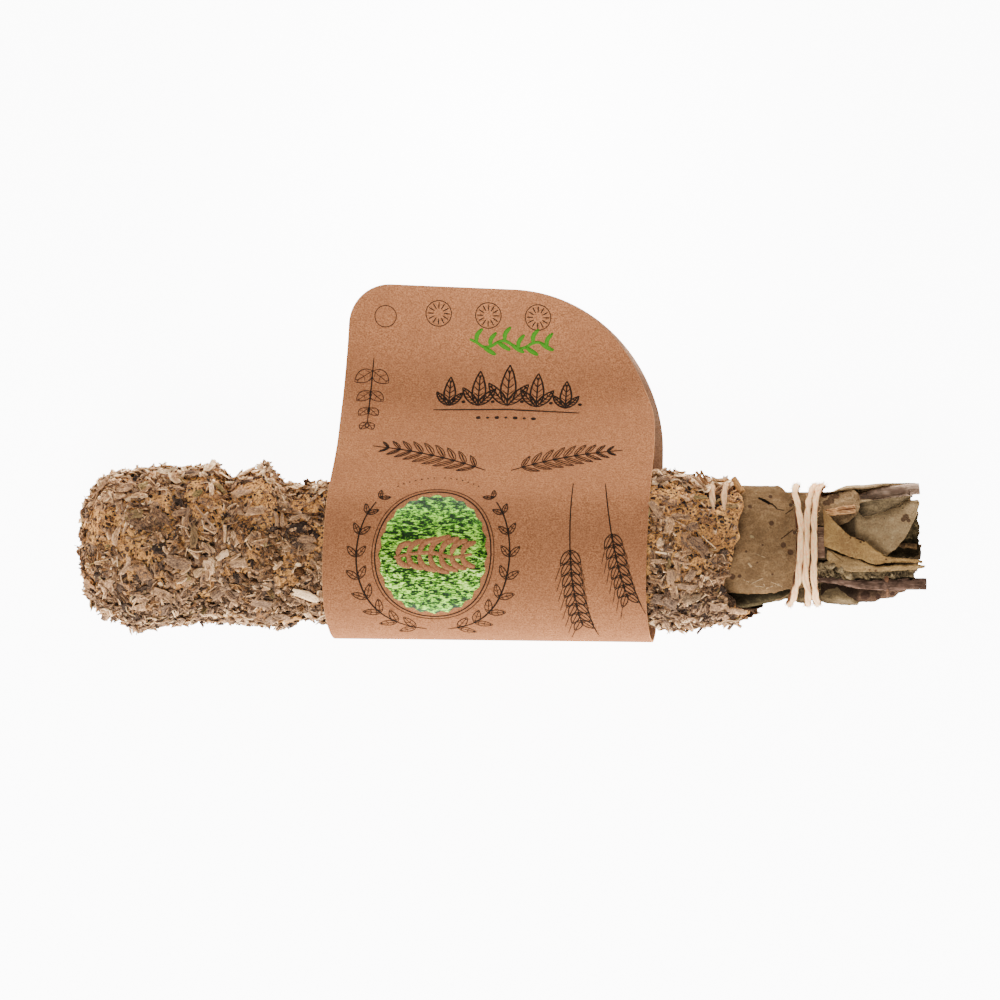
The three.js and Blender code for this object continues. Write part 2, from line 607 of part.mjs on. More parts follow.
// A closed sheet that follows the card between two offsets from its middle line, inwards and outwards, from a
// distance along the line onwards, and reaches past its side edges.
function cardSheet({ inwards, outwards, start = 0, past = 0 }) {
  const line = cardLine();
  const length = line.getLength();
  // rows lie closer together along the rounded corners at both ends
  const corner = [0, 0.4, 1.2, 2.4, 4, 6, 8, 11, 15, 20, 26, 32];
  const stops = [...corner];
  const middle = 40;
  const first = 36;
  for (let n = 0; n <= middle; n++) stops.push(first + ((length - 2 * first) * n) / middle);
  stops.push(...corner.map((s) => length - s).reverse());
  const used = stops.filter((s) => s >= start);
  const rows = used.length - 1;
  const SLANT = Math.tan(rad(2.4)); // the flaps' top edge falls towards +X
  const place = (i, j, k) => {
    const s = used[Math.round(j * rows)];
    const fromEnd = Math.min(s, length - s);
    const half = CARD_WIDTH / 2;
    const left = -half + cornerInset(CORNER_LEFT, CORNER_LEFT, fromEnd) - past;
    const right = half - cornerInset(CORNER_RIGHT.across, CORNER_RIGHT.along, fromEnd) + past;
    const across = left + (right - left) * i;
    const slide = (across + half) * SLANT * (1 - smooth(20, 70, fromEnd)) * (s < length / 2 ? 1 : -1);
    const share = THREE.MathUtils.clamp((s + slide) / length, 0, 1);
    const point = line.getPointAt(share);
    const tangent = line.getTangentAt(share);
    const offset = THREE.MathUtils.lerp(-inwards, outwards, (k + 1) / 2);
    const y = point.x + tangent.y * offset;
    const bulge = 0.04 * (1 - i) * smooth(10, 22, -y); // the bend stands out less towards -X
    return new THREE.Vector3(cardCentre(s / length) + across, y * (1 - bulge), point.y - tangent.x * offset);
  };
  return solidOf(bentSheet(2, rows, place));
}

function cardSleeve() {
  const sheet = cardSheet({ inwards: CARD_THICKNESS / 2, outwards: CARD_THICKNESS / 2 });
  // the glue that holds the flaps together
  const glue = new THREE.BoxGeometry(52, 9, CARD_GAP + 0.1);
  glue.translate(-7, 51, BACK_Z + CARD_THICKNESS / 2 + CARD_GAP / 2);
  return sheet.add(solidOf(glue));
}
addPiece("kraft_sleeve", geometryOf(cardSleeve()), kraft);

// The coat is pressed flat where the card lies on it.
const cardRoom = cardSheet({ inwards: CARD_THICKNESS / 2 + 0.35, outwards: 5, start: 57, past: 0.7 });
const tools = [boreTool(), tieChannel(), tableTool(), cardRoom];
const coat = mainBody(tools.reduce((left, tool) => left.subtract(tool), crumbCoat()));
addPiece("crumb_coat", geometryOf(mainBody(coat.simplify(0.03))), coatMaterial);

export default group;
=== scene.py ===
# A dried sage smudge bunch, 200 mm long: leathery leaves and twigs rolled into a bundle, tied with cotton
# string, coated for most of its length with crumbled herb on resin paste, and held in a folded kraft card
# sleeve. The meshes are shaped in millimetres and turned into metres as each piece is finished.
import bisect
import math
import random

import bmesh
import bpy
from mathutils import Matrix, Vector, noise


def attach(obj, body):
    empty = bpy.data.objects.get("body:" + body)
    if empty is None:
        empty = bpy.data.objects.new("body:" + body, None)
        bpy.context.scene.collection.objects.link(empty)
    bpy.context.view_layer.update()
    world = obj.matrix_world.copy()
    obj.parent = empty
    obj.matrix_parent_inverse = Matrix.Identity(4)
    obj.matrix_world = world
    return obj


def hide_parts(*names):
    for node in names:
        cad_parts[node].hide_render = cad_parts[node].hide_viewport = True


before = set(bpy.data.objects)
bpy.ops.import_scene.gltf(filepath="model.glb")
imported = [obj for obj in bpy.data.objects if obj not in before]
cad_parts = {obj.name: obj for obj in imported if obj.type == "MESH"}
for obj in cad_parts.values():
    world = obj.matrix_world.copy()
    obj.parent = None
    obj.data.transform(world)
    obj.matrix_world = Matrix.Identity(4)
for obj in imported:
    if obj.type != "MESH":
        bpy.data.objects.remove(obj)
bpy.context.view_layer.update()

# ------------------------------------------------------------------ rolled leaves at the heart
# Long sage leaves rolled up lengthways like cigars, with the loose edge tucked inside. They are dry and
# leathery, grey-green or olive, and only the pressure of the leaves round them keeps them shut.
MM = 0.001
AXIS_HEIGHT = 18.6  # the bundle's axis above the surface it lies on
LEAF_WALL = 0.34
ROLL_PITCH = 1.1  # from one turn of a rolled leaf to the next
ROLL_COLUMNS, ROWS_PER_TURN = 36, 22
ROLL_RAGGED = 0.9  # how far the ends of a rolled leaf are torn back
ROLLS = [
    # y and z from the axis, outer radius, turns, left end, right end, first angle
    (-3.1, -1.8, 4.1, 2.5, -90, 97, 40),
    (4.0, 1.2, 3.3, 1.9, -82, 95.5, 200),
    (2.6, -5.0, 2.1, 1.1, -86, 96.4, 310),
    (-1.6, 5.1, 2.3, 1.2, -74, 97.6, 120),
]


class Socket:
    """A shader socket of one material. Arithmetic on it adds Math nodes."""

    def __init__(self, tree, out):
        self.tree, self.out = tree, out

    def node(self, kind, settings=None, output=0, **inputs):
        """Adds a node: first its settings, then its sockets by name or, as _0, by number."""
        made = self.tree.nodes.new(kind)
        for name, value in (settings or {}).items():
            if name == "stops":
                while len(made.color_ramp.elements) < len(value):
                    made.color_ramp.elements.new(1.0)
                for element, (position, colour) in zip(made.color_ramp.elements, value):
                    element.position, element.color = position, colour
            else:
                setattr(made, name, value)
        for name, value in inputs.items():
            socket = made.inputs[int(name[1:]) if name[0] == "_" else name.replace("_", " ")]
            if isinstance(value, Socket):
                self.tree.links.new(value.out, socket)
            else:
                socket.default_value = value
        return Socket(self.tree, made.outputs[output])

    def maths(self, operation, first, second):
        return self.node("ShaderNodeMath", {"operation": operation}, _0=first, _1=second)

    def __add__(self, other):
        return self.maths("ADD", self, other)

    def __sub__(self, other):
        return self.maths("SUBTRACT", self, other)

    def __rsub__(self, other):
        return self.maths("SUBTRACT", other, self)

    def __mul__(self, other):
        return self.maths("MULTIPLY", self, other)

    __radd__, __rmul__ = __add__, __mul__

    def step(self, low, high):
        """0 below low, 1 above high, and smooth between them; low may be the higher one."""
        settings = {"interpolation_type": "SMOOTHSTEP"}
        return self.node("ShaderNodeMapRange", settings, Value=self, From_Min=low, From_Max=high)

    def mix(self, *colours):
        """The first colour where this value is 0, and the second where it is 1."""
        first, second = (c if isinstance(c, Socket) else rgb(*c) for c in colours)
        return self.node("ShaderNodeMix", {"data_type": "RGBA"}, 2, _0=self, _6=first, _7=second)

    def ramp(self, *stops):
        """A colour that runs through the (position, colour) stops as this value rises."""
        stops = [(position, rgb(*colour)) for position, colour in stops]
        return self.node("ShaderNodeValToRGB", {"stops": stops}, Fac=self)

    def stretched(self, x, y, z):
        settings = {"operation": "MULTIPLY"}
        return self.node("ShaderNodeVectorMath", settings, _0=self, _1=(x, y, z))

    def far_from(self, start, stop=None):
        """The distance from a point, or from the line between two points, all (x, y) in millimetres."""
        start = Vector((*start, 0.0)) * MM
        if stop is None:
            return self.node("ShaderNodeVectorMath", {"operation": "DISTANCE"}, 1, _0=self, _1=start)
        way = Vector((*stop, 0.0)) * MM - start
        away = self.node("ShaderNodeVectorMath", {"operation": "SUBTRACT"}, _0=self, _1=start)
        along_it = self.node("ShaderNodeVectorMath", {"operation": "DOT_PRODUCT"}, 1, _0=away, _1=way)
        share = along_it.node("ShaderNodeClamp", Value=along_it * (1 / way.length_squared))
        reached = self.node("ShaderNodeCombineXYZ", X=share * way.x, Y=share * way.y)
        return self.node("ShaderNodeVectorMath", {"operation": "DISTANCE"}, 1, _0=away, _1=reached)

    def noise(self, size, detail=3.0, roughness=0.55):
        """Smooth noise whose lumps are about size millimetres across."""
        return self.node(
            "ShaderNodeTexNoise", Vector=self, Scale=1 / (size * MM), Detail=detail, Roughness=roughness)

    def cells(self, size, feature="F1", output=0):
        """Voronoi cells about size millimetres across."""
        return self.node(
            "ShaderNodeTexVoronoi", {"feature": feature}, output, Vector=self, Scale=1 / (size * MM))

    def bump(self, depth):
        """This value as a height of depth millimetres."""
        return self.node("ShaderNodeBump", Strength=1.0, Distance=depth * MM, Height=self)

    def attribute(self, name, output=2):
        """What each vertex of the piece carries under name: output 1 is a vector, and 2 a number."""
        return self.node("ShaderNodeAttribute", {"attribute_name": name}, output)


def rgb(red, green, blue):
    """A colour as the shaders want it, from its 8-bit values on screen."""
    return tuple(((c / 255 + 0.055) / 1.055) ** 2.4 for c in (red, green, blue)) + (1.0,)


def finish_of(name, sockets):
    """A material whose shader takes what sockets(place) returns; place is the Object coordinate."""
    material = bpy.data.materials.new(name)
    material.use_nodes = True
    tree = material.node_tree
    shader = tree.nodes["Principled BSDF"]
    coordinates = tree.nodes.new("ShaderNodeTexCoord")
    for socket, value in sockets(Socket(tree, coordinates.outputs["Object"])).items():
        if isinstance(value, Socket):
            tree.links.new(value.out, shader.inputs[socket])
        else:
            shader.inputs[socket].default_value = value
    return material


def matt(colour, roughness, normal=None):
    """What the shader of a dull surface takes."""
    sockets = {"Base Color": colour, "Roughness": roughness, "Specular IOR Level": 0.0}
    return sockets if normal is None else {**sockets, "Normal": normal}


def leaf_finish(name, base, shade, light, spots=(), spotted=0.35, spot_colour=(58, 40, 30), marks=()):
    """Dry sage leaf: mottled and speckled, with a fine net of veins, a pale bloom and brown spots. Spots are
    (x, y, radius) and marks (x, y, x, y, width, colour), in millimetres, on the side that looks up."""

    def sockets(place):
        flat = place.stretched(1.0, 1.0, 0.0)
        mottle = place.noise(5.0, 4.0).step(0.35, 0.68)
        streaks = place.stretched(0.3, 1.0, 1.0).noise(1.3, 3.0).step(0.45, 0.75)
        blotches = place.noise(1.6, 3.0, 0.65)
        grain = place.noise(0.4, 3.0, 0.7)
        net = place.cells(1.1, "DISTANCE_TO_EDGE").step(0.0, 0.16)
        colour = mottle.mix(shade, base)
        colour = (streaks * 0.35).mix(colour, light)
        colour = (blotches.step(0.52, 0.7) * 0.5).mix(colour, light)
        colour = (blotches.step(0.48, 0.3) * 0.55).mix(colour, shade)
        colour = ((1 - net) * 0.2).mix(colour, light)
        colour = (grain.step(0.55, 0.35) * 0.45).mix(colour, tuple(0.8 * c for c in shade))
        ragged = place.noise(0.7, 2.0) * 0.5 - 0.25
        if spotted:
            each = place.cells(7.0, output=1)
            chance = each.node("ShaderNodeSeparateColor", Color=each)
            brown = (place.cells(7.0) + ragged * 0.12).step(0.115, 0.075)
            brown = brown * chance.step(1 - spotted, 1.04 - spotted)
        else:
            brown = grain.step(0.8, 0.95)
        for x, y, radius in spots:
            away = flat.far_from((x, y))
            near = away * (1 / (radius * MM)) + ragged
            brown = place.maths("MAXIMUM", brown, near.step(1.1, 0.75))
        colour = (brown * 0.85).mix(colour, spot_colour)
        height = net * 0.4 + grain * 0.5 + mottle * 0.6 + blotches * 0.8 + brown * -0.4
        for x, y, x2, y2, width, mark_colour in marks:
            away = flat.far_from((x, y), (x2, y2))
            pale = sum(mark_colour) > 240  # a scratch, not a tear
            broken = place.noise(0.8, 2.0).step(0.38, 0.5) if pale else 1.0
            on_mark = (away * (2 / (width * MM)) + ragged * 2.4).step(1.3, 0.7) * broken
            colour = on_mark.mix(colour, mark_colour)
            height = height + on_mark * (0.8 if pale else -1.5)
        # painted shade: the per-vertex darkening for creases, hollows, and the places beside and under what
        # lies on the leaf
        stain = place.attribute("stain")
        colour = stain.mix(colour, tuple(0.3 * c for c in shade))
        return matt(colour, 0.66 + grain * 0.2, height.bump(0.2))

    return finish_of(name, sockets)


def smooth(low, high, value):
    share = min(1.0, max(0.0, (value - low) / (high - low)))
    return share * share * (3 - 2 * share)


def lean(x):
    """How far the bundle has drifted towards +Y at x."""
    return 0.85 * (x + 100) / 200


def around_axis(x, degrees, radius):
    """A point by its angle round the bundle, from straight up and positive towards +Y."""
    a = math.radians(degrees)
    return Vector((x, lean(x) + radius * math.sin(a), AXIS_HEIGHT + radius * math.cos(a)))


def rough(seed, *place):
    """Smooth noise from -1 to 1, different for each seed."""
    return noise.noise(Vector((*place, 0.0, 0.0)[:3]) + Vector((17.3, 5.1, 29.7)) * seed)


def sheet(columns, rows, place):
    """A flat grid whose points place(share along, share across) puts, with its faces turned outwards."""
    bm = bmesh.new()
    bmesh.ops.create_grid(bm, x_segments=columns, y_segments=rows, size=0.5)
    for vert in bm.verts:
        vert.co = place(vert.co.x + 0.5, vert.co.y + 0.5)
    return bm


def add_object(name, data):
    made = bpy.data.objects.new(name, data)
    bpy.context.scene.collection.objects.link(made)
    return made


def piece(name, bm, material, slot, nodes=(), wall=None, sharp=40):
    """Finishes a mesh made in millimetres as a piece of the object, with a wall if it is a sheet."""
    bmesh.ops.scale(bm, vec=(MM, MM, MM), verts=bm.verts)
    for face in bm.faces:
        face.smooth = True
    for edge in bm.edges:
        if edge.is_boundary:
            edge.smooth = False
    mesh = bpy.data.meshes.new(name)
    bm.to_mesh(mesh)
    bm.free()
    mesh.set_sharp_from_angle(angle=math.radians(sharp))
    mesh.materials.append(material)
    made = add_object(name, mesh)
    if wall:
        thick = made.modifiers.new("Wall", "SOLIDIFY")
        thick.thickness, thick.offset = wall * MM, 0.0
    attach(made, "root")
    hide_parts(*nodes)
    return made


inner_finish = leaf_finish("inner_leaf", (62, 48, 35), (42, 33, 25), (92, 74, 54))
inner_pale_finish = leaf_finish("inner_pale_leaf", (78, 63, 45), (54, 43, 31), (108, 90, 64), spotted=0.15)

for n, (y, z, outer, turns, left, right, first) in enumerate(ROLLS):
    def rolled(i, j, n=n, y=y, z=z, outer=outer, turns=turns, left=left, right=right, first=first):
        x = left + (right - left) * i + rough(n, 4 * j, i * 3) * (ROLL_RAGGED if i in (0, 1) else 0)
        turn = math.radians(first) + 2 * math.pi * turns * j
        radius = outer - 0.3 - ROLL_PITCH * turns * j + 0.1 * rough(n, 0.3 * x, 5 * j)
        return Vector((x, y + lean(x) - radius * math.sin(turn), AXIS_HEIGHT + z + radius * math.cos(turn)))

    bm = sheet(ROLL_COLUMNS, round(ROWS_PER_TURN * turns), rolled)
    slot = "leaf_olive" if n % 2 else "leaf_grey"
    finish = inner_finish if n % 2 else inner_pale_finish
    piece(f"rolled_leaf_{n + 1}_dressed", bm, finish, slot, [f"rolled_leaf_{n + 1}"], wall=LEAF_WALL)

# ------------------------------------------------------------------ packed leaves
# Leaves laid flat round the rolls, one layer outside the other, and squeezed together by the string. They run
# on inside the coat, and at the cut end their trimmed edges show as thin dark lines.
LAYER = [13.8, 12.85, 11.9, 10.9, 9.7]  # the leaf layers' distances from the axis
DRAWN_IN = [
    # how far the string and the coat squeeze the layers at each x
    (-100, 0.75), (44, 0.75), (46.8, 0.95), (53.6, 0.95), (56.4, 0.75), (62.5, 0.75), (64.6, 0.65),
    (66.4, 1.4), (77.4, 1.4), (80.6, 0.15), (86, 0), (100, 0),
]
PACKED = [
    # left end, right end, layer, from angle, to angle
    (-84, 56, 2, -118, -62), (-88, 96.5, 3, -28, 62), (-80, 96, 2, 106, 234), (-90, 94.5, 3, 112, 286),
    (-76, 97, 4, -128, -60), (-88, 96.8, 4, -26, 64), (-70, 97.4, 4, 108, 222),
]


def along(rows, at, which=1):
    """Straight lines between (position, value, ...) rows."""
    if at <= rows[0][0]:
        return rows[0][which]
    for before, after in zip(rows, rows[1:]):
        if at < after[0]:
            share = (at - before[0]) / (after[0] - before[0])
            return before[which] + (after[which] - before[which]) * share
    return rows[-1][which]


def leaf(name, finish, slot, outline, radius, seed, nodes=None, lift=lambda x, j: 0.0, torn=1.0, cell=0.7,
         ragged=0.3, wrinkle=0.1, stain=lambda x, j: 0.0):
    """One leaf on its layer, between two angles at each x. Its ends are torn, its surface is wrinkled, and
    painted shade from the last argument darkens it in creases, in hollows and beside and under what lies on
    it."""
    left, right = outline[0][0], outline[-1][0]
    widest = max(row[2] - row[1] for row in outline)

    def place(i, j):
        x = left + (right - left) * i
        edge = smooth(0.1, 0, min(j, 1 - j)) * ragged * rough(seed + 0.4, x * 0.9, 8 * round(j))
        start, stop = along(outline, x, 1), along(outline, x, 2)
        degrees = start + (stop - start) * j + math.degrees(edge / radius)
        pull = torn * (0.6 * rough(seed, j * widest / 9) + 0.5 * rough(seed, j * widest / 3, 4))
        x += pull * (smooth(0.88, 1, i) + smooth(0.12, 0, i))
        out = radius - along(DRAWN_IN, x) + lift(x, j)
        out += wrinkle * (rough(seed, x * 0.35, degrees * 0.08) + 0.5 * rough(seed, x * 1.1, degrees * 0.25))
        return around_axis(x, degrees, out)

    columns = max(6, round((right - left) / cell))
    rows = max(6, round(math.radians(widest) * radius / cell))
    nodes = [name] if nodes is None else nodes
    bm = sheet(columns, rows, lambda i, j: Vector((i, j, 0)))
    # the painted shade that each vertex carries, from the last argument
    painted_shade_layer = bm.verts.layers.float.new("stain")
    for vert in bm.verts:
        i, j = vert.co.xy
        vert[painted_shade_layer] = stain(left + (right - left) * i, j)
        vert.co = place(i, j)
    return piece(name + "_dressed", bm, finish, slot, nodes, wall=LEAF_WALL)


for n, (left, right, layer, start, stop) in enumerate(PACKED):
    finish, slot = (inner_pale_finish, "leaf_grey") if n % 2 else (inner_finish, "leaf_olive")
    leaf(f"packed_leaf_{n + 1}", finish, slot,
         [(left, start + 12, stop - 12), (left + 30, start, stop), (right, start, stop)],
         LAYER[layer], 40 + n, cell=2.5)

# ------------------------------------------------------------------ wrapping leaves
# The broad leaves that wrap the bundle and show at the cut end. Each is dry and leathery, lies on the layer
# under it, and is held down by the string that crosses it. The front one is spotted, torn in places and
# scratched low down.
# The near-black marks are painted shade inside the front leaf's tears and in the crease beside the grey
# leaf's flap.
TEAR_SHADE, SCRATCHED = (16, 12, 9), (156, 128, 94)
olive_finish = leaf_finish("olive_leaf", (100, 80, 54), (70, 56, 38), (128, 106, 76))
grey_finish = leaf_finish(
    "grey_leaf", (146, 120, 86), (124, 100, 70), (164, 140, 104), spotted=0.1,
    spots=[(93.6, 7.4, 0.8), (92.9, 6.8, 0.6), (94.2, 6.6, 0.5)], marks=[(88.3, 8.9, 94.2, 12.0, 0.55, TEAR_SHADE)])
front_finish = leaf_finish(
    "front_leaf", (118, 90, 60), (96, 72, 48), (138, 110, 77), spotted=0.0,
    spots=[
        (62.0, 6.0, 0.62), (64.7, 0.9, 0.7), (66.4, -0.8, 0.75), (52.9, -6.5, 0.75), (54.6, -6.4, 0.5),
        (62.3, -6.0, 0.3), (57.1, 9.9, 0.5), (62.1, 12.2, 0.5), (59.8, 0.9, 0.3), (52.9, 0.1, 0.7),
        (67.4, 3.9, 0.5), (56.0, -0.6, 0.3), (58.6, -3.2, 0.25), (66.8, 10.2, 0.45), (54.6, 7.8, 0.35),
    ],
    marks=[
        (59.4, 11.8, 60.9, 11.1, 0.5, TEAR_SHADE), (60.6, 11.3, 61.6, 10.6, 0.6, TEAR_SHADE),
        (61.6, 10.6, 62.4, 10.4, 0.4, TEAR_SHADE), (62.6, 10.2, 63.3, 9.5, 0.3, (34, 25, 18)),
        (63.3, 9.3, 65.0, 9.0, 0.22, (50, 36, 26)), (65.4, 8.2, 67.2, 9.3, 0.2, (60, 43, 30)),
        (64.2, 2.4, 67.0, 4.4, 0.22, (60, 44, 30)), (57.2, -8.3, 60.1, -6.9, 0.2, SCRATCHED),
        (58.2, -8.8, 61.0, -9.0, 0.2, SCRATCHED), (60.3, -8.3, 60.9, -9.2, 0.16, SCRATCHED),
        (60.8, -9.4, 64.0, -8.2, 0.24, SCRATCHED), (62.0, -7.8, 64.6, -8.9, 0.16, SCRATCHED),
        (55.6, -7.3, 57.8, -8.3, 0.18, SCRATCHED), (56.6, -3.5, 57.2, -4.1, 0.5, SCRATCHED),
        (57.2, 3.0, 57.5, 2.8, 0.7, (132, 110, 78)), (58.2, -1.2, 60.4, -2.0, 0.16, SCRATCHED),
    ])
leaf("wrap_leaf_front", front_finish, "leaf_olive",
     [(34, -62, 83), (53, -61, 84), (60, -58, 84), (65.4, -53.5, 84), (66.6, -54, 84), (71.3, -52, 82)],
     LAYER[0], 11, cell=0.5, torn=0.5, wrinkle=0.2, ragged=0.7,
     lift=lambda x, j: 1.0 * smooth(0.75, 0.96, j) * smooth(67, 64, x),
     stain=lambda x, j: 0.14 * smooth(0.3, 0.1, j) + 0.35 * smooth(0.78, 0.93, j))
side_finish = leaf_finish("side_leaf", (66, 56, 38), (42, 35, 24), (92, 80, 56), spotted=0.0)
SIDE_BULGE = [(44, 1.6), (55, 1.9), (58.5, 1.3), (61.5, 0.6), (64, 0), (68, 0), (69, 1.1), (70.6, 1.1)]
leaf("wrap_leaf_side", side_finish, "leaf_olive", [(36, -146, -50), (70.5, -142, -50)], LAYER[0], 17,
     cell=0.6, lift=lambda x, j: along(SIDE_BULGE, x) * smooth(0.92, 0.77, j) * smooth(0.17, 0.43, j)
     - 0.8 * smooth(0.86, 0.94, j), stain=lambda x, j: 0.8 * smooth(0.72, 0.9, j))
loose_finish = leaf_finish("loose_leaf", (112, 90, 62), (78, 60, 42), (150, 126, 92), spotted=0.0)
for n, (turned, out) in enumerate([(0, 13.9), (5, 13.5), (-7, 13.3)]):
    leaf(f"loose_leaf_edge_{n + 1}", loose_finish, "leaf_olive",
         [(56 + n, -104 + turned, -97 + turned), (60, -93 + turned, -87 + turned),
          (63, -80 + turned, -75 + turned), (67.2, -66 + turned, -63 + turned)],
         out, 90 + n, nodes=[], cell=0.3, ragged=0.4, torn=0.4)
leaf("wrap_leaf_under", olive_finish, "leaf_olive", [(52, 126, 231), (94.5, 132, 236)], LAYER[1], 18,
     cell=1.0)
leaf("wrap_leaf_back", grey_finish, "leaf_grey",
     [(40, 88.5, 206), (74, 88, 196), (76.5, 87, 190), (79, 74, 188), (84, 71, 186), (87, 73, 185),
      (90, 78, 184), (93, 84, 180), (96.8, 87, 176)], LAYER[0], 19, ragged=0.8, cell=0.7,
     lift=lambda x, j: 0.3 * smooth(76, 79, x) + 0.4 * smooth(84, 90, x) * (1 - j))
bottom_finish = leaf_finish(
    "bottom_leaf", (72, 53, 40), (50, 36, 28), (94, 74, 56), spotted=0.0,
    spots=[(84.5, -11.0, 1.2), (87.6, -11.4, 0.7), (84.0, -13.2, 0.9), (91.0, -10.6, 0.6)],
    spot_colour=(38, 26, 21))


def out_to(rows, x, j):
    """The lift that brings a leaf of the second layer out to the radii in rows, but not under the twig."""
    level = LAYER[1] - along(DRAWN_IN, x)
    under_twig = smooth(0.74, 0.92, j)
    return (along(rows, x) - level) * (1 - under_twig) + (min(level, LAYER[3]) - level) * under_twig


BOTTOM_REACH = [(76, 13.0), (82, 13.4), (87.2, 13.5), (88.6, 12.7), (91.8, 12.4), (92.8, 11.3), (94.8, 10.8)]
leaf("wrap_leaf_bottom", bottom_finish, "leaf_grey",
     [(74, -116, -44), (86, -112, -44), (90, -108, -44), (92.6, -102, -44), (94.4, -94, -45)], LAYER[1], 16,
     torn=0.5, ragged=0.5, cell=0.4, wrinkle=0.25, lift=lambda x, j: out_to(BOTTOM_REACH, x, j),
     stain=lambda x, j: max(0.8 * smooth(83.4, 82.4, x), 0.6 * smooth(0.76, 0.86, j)))
cover_finish = leaf_finish("cover_leaf", (104, 85, 59), (68, 56, 40), (132, 111, 79), spotted=0.1)
COVER_REACH = [
    (58, 12.2), (68.6, 12.2), (69.4, 13.4), (70.6, 13.4), (71.4, 12.7), (74.2, 12.9), (76.0, 13.5),
    (81, 13.8), (83, 13.8),
]
leaf("bottom_leaf_cover", cover_finish, "leaf_grey",
     [(58, -116, -48), (74, -114, -47), (78, -112, -46), (80, -110, -49), (81.3, -108, -56), (82, -106, -64),
      (83.2, -100, -74)], LAYER[1], 24, nodes=[], torn=0.3, ragged=0.6, cell=0.35, wrinkle=0.25,
     lift=lambda x, j: out_to(COVER_REACH, x, j) + 0.25,
     stain=lambda x, j: max(0.6 * smooth(0.76, 0.88, j), 0.45 * smooth(78.8, 76.8, x)))
leaf("bottom_scrap", bottom_finish, "leaf_grey",
     [(51, -116, -82), (56, -114, -81), (59, -110, -84), (61, -104, -90)], LAYER[0] + 2.3, 25, nodes=[],
     torn=0.8, ragged=0.9, cell=0.4, wrinkle=0.3, lift=lambda x, j: -0.8 * smooth(58, 61, x))
spotted_finish = leaf_finish(
    "spotted_leaf", (130, 102, 70), (98, 76, 52), (158, 130, 94), spotted=0.0, spot_colour=(52, 36, 27),
    spots=[(77.9, 12.4, 0.8), (76.5, 11.3, 0.9), (75.6, 10.8, 0.8), (76.9, 12.0, 0.7), (75.2, 12.6, 0.8),
           (79.4, 13.7, 0.5), (75.0, 10.6, 0.6), (74.4, 13.5, 0.5)])
leaf("wrap_leaf_spotted", spotted_finish, "leaf_grey",
     [(60, 26, 94), (78, 24, 93), (79.8, 26, 88), (81, 29, 80), (82.1, 34, 71), (82.9, 44, 60)], LAYER[1], 12,
     cell=0.45, torn=0.15, wrinkle=0.2, lift=lambda x, j: 0.9 * smooth(75.6, 78, x) * smooth(0.6, 1, j),
     stain=lambda x, j: 0.32 * smooth(0.34, 0.24, j) * smooth(82.4, 81.4, x))
leaf("wrap_leaf_grey", grey_finish, "leaf_grey",
     [(57, -22, 62), (82, -16, 62), (88.5, -11, 62), (91.0, -5, 62), (92.4, 4, 62), (94.4, 17, 62),
      (96.2, 38, 62), (97.0, 52, 61)], LAYER[2], 13, cell=0.4, torn=0.4, wrinkle=0.18, ragged=0.5,
     lift=lambda x, j: 0.35 * smooth(84, 93, x) * (1 - j), stain=lambda x, j: 0.85 * smooth(82.6, 81.2, x))
flap_finish = leaf_finish("flap_leaf", (92, 77, 54), (60, 49, 35), (122, 102, 74), spotted=0.0)
leaf("wrap_leaf_grey_flap", flap_finish, "leaf_grey",
     [(82.4, 42, 47), (83.3, 31, 53), (86.0, 34, 57), (88.9, 37.5, 60), (92.0, 47, 64), (95.6, 61, 67)],
     LAYER[2] + 0.5, 23, nodes=[], cell=0.35, torn=0.2, ragged=0.2,
     lift=lambda x, j: 0.75 * (1 - j) * smooth(82, 84, x), stain=lambda x, j: 0.8 * smooth(85.5, 83, x))

# Under the grey leaf the torn ends of three more leaves show.
end_finish = leaf_finish("leaf_ends", (66, 54, 36), (30, 25, 16), (108, 91, 62), spotted=0.1)
leaf("torn_end_1", end_finish, "leaf_olive", [(86, -13, 40), (92, -14, 46), (96.4, -13, 52)],
     LAYER[2] - 0.55, 26, nodes=[], torn=1.0, ragged=0.9, cell=0.3, wrinkle=0.5,
     stain=lambda x, j: 0.8 * smooth(0.48, 0.28, j))
leaf("torn_end_2", end_finish, "leaf_olive", [(87, 14, 44), (92.4, 10, 48), (95.2, 8, 52)],
     LAYER[2] - 0.15, 27, nodes=[], torn=1.0, ragged=0.9, cell=0.3, wrinkle=0.5)
tongue_finish = leaf_finish("tongue_leaf", (80, 58, 36), (46, 34, 23), (108, 82, 52), spotted=0.1)
leaf("torn_end_3", tongue_finish, "leaf_ochre",
     [(91.6, -0.6, 2.0), (93.2, -3.0, 3.2), (96.0, -3.2, 1.8)], LAYER[2] - 0.4, 28, nodes=[], torn=0.4,
     ragged=0.4, cell=0.3, lift=lambda x, j: 0.5 * math.sin(math.pi * j))

# ------------------------------------------------------------------ folded leaves
# Two narrow leaves, folded along the bundle and tucked under the string, with a dark gap between them. The
# upper one is bleached to ochre. Beside the lower twig a third leaf is crumpled into small pleats.
ochre_finish = leaf_finish(
    "ochre_leaf", (142, 110, 66), (118, 88, 54), (162, 130, 82), spotted=0.0, spot_colour=(54, 37, 26),
    spots=[(82.6, 1.6, 0.3), (80.2, 2.6, 0.25), (88.6, -2.4, 0.25), (76.6, 7.0, 0.4)],
    marks=[(81.6, 2.6, 83.4, 1.9, 0.4, (46, 32, 22))])
leaf("folded_leaf_upper", ochre_finish, "leaf_ochre",
     [(74.2, -1, 40), (75.6, -2.5, 32), (76.6, -4.5, 26), (78.6, -8.5, 15.5), (80.3, -10.5, 8),
      (83.0, -13, 6.5), (84.6, -16, 0.5), (86.4, -18, -5), (88.5, -16, -10.5), (92, -15.5, -12.5),
      (96.2, -16.6, -13.8), (97.0, -17.2, -15.2)],
     LAYER[0] + 0.35, 14, torn=0.15, cell=0.35, ragged=0.22, wrinkle=0.14,
     lift=lambda x, j: 0.35 * j + 0.2 * smooth(0.25, 0, j) * smooth(76, 80, x))
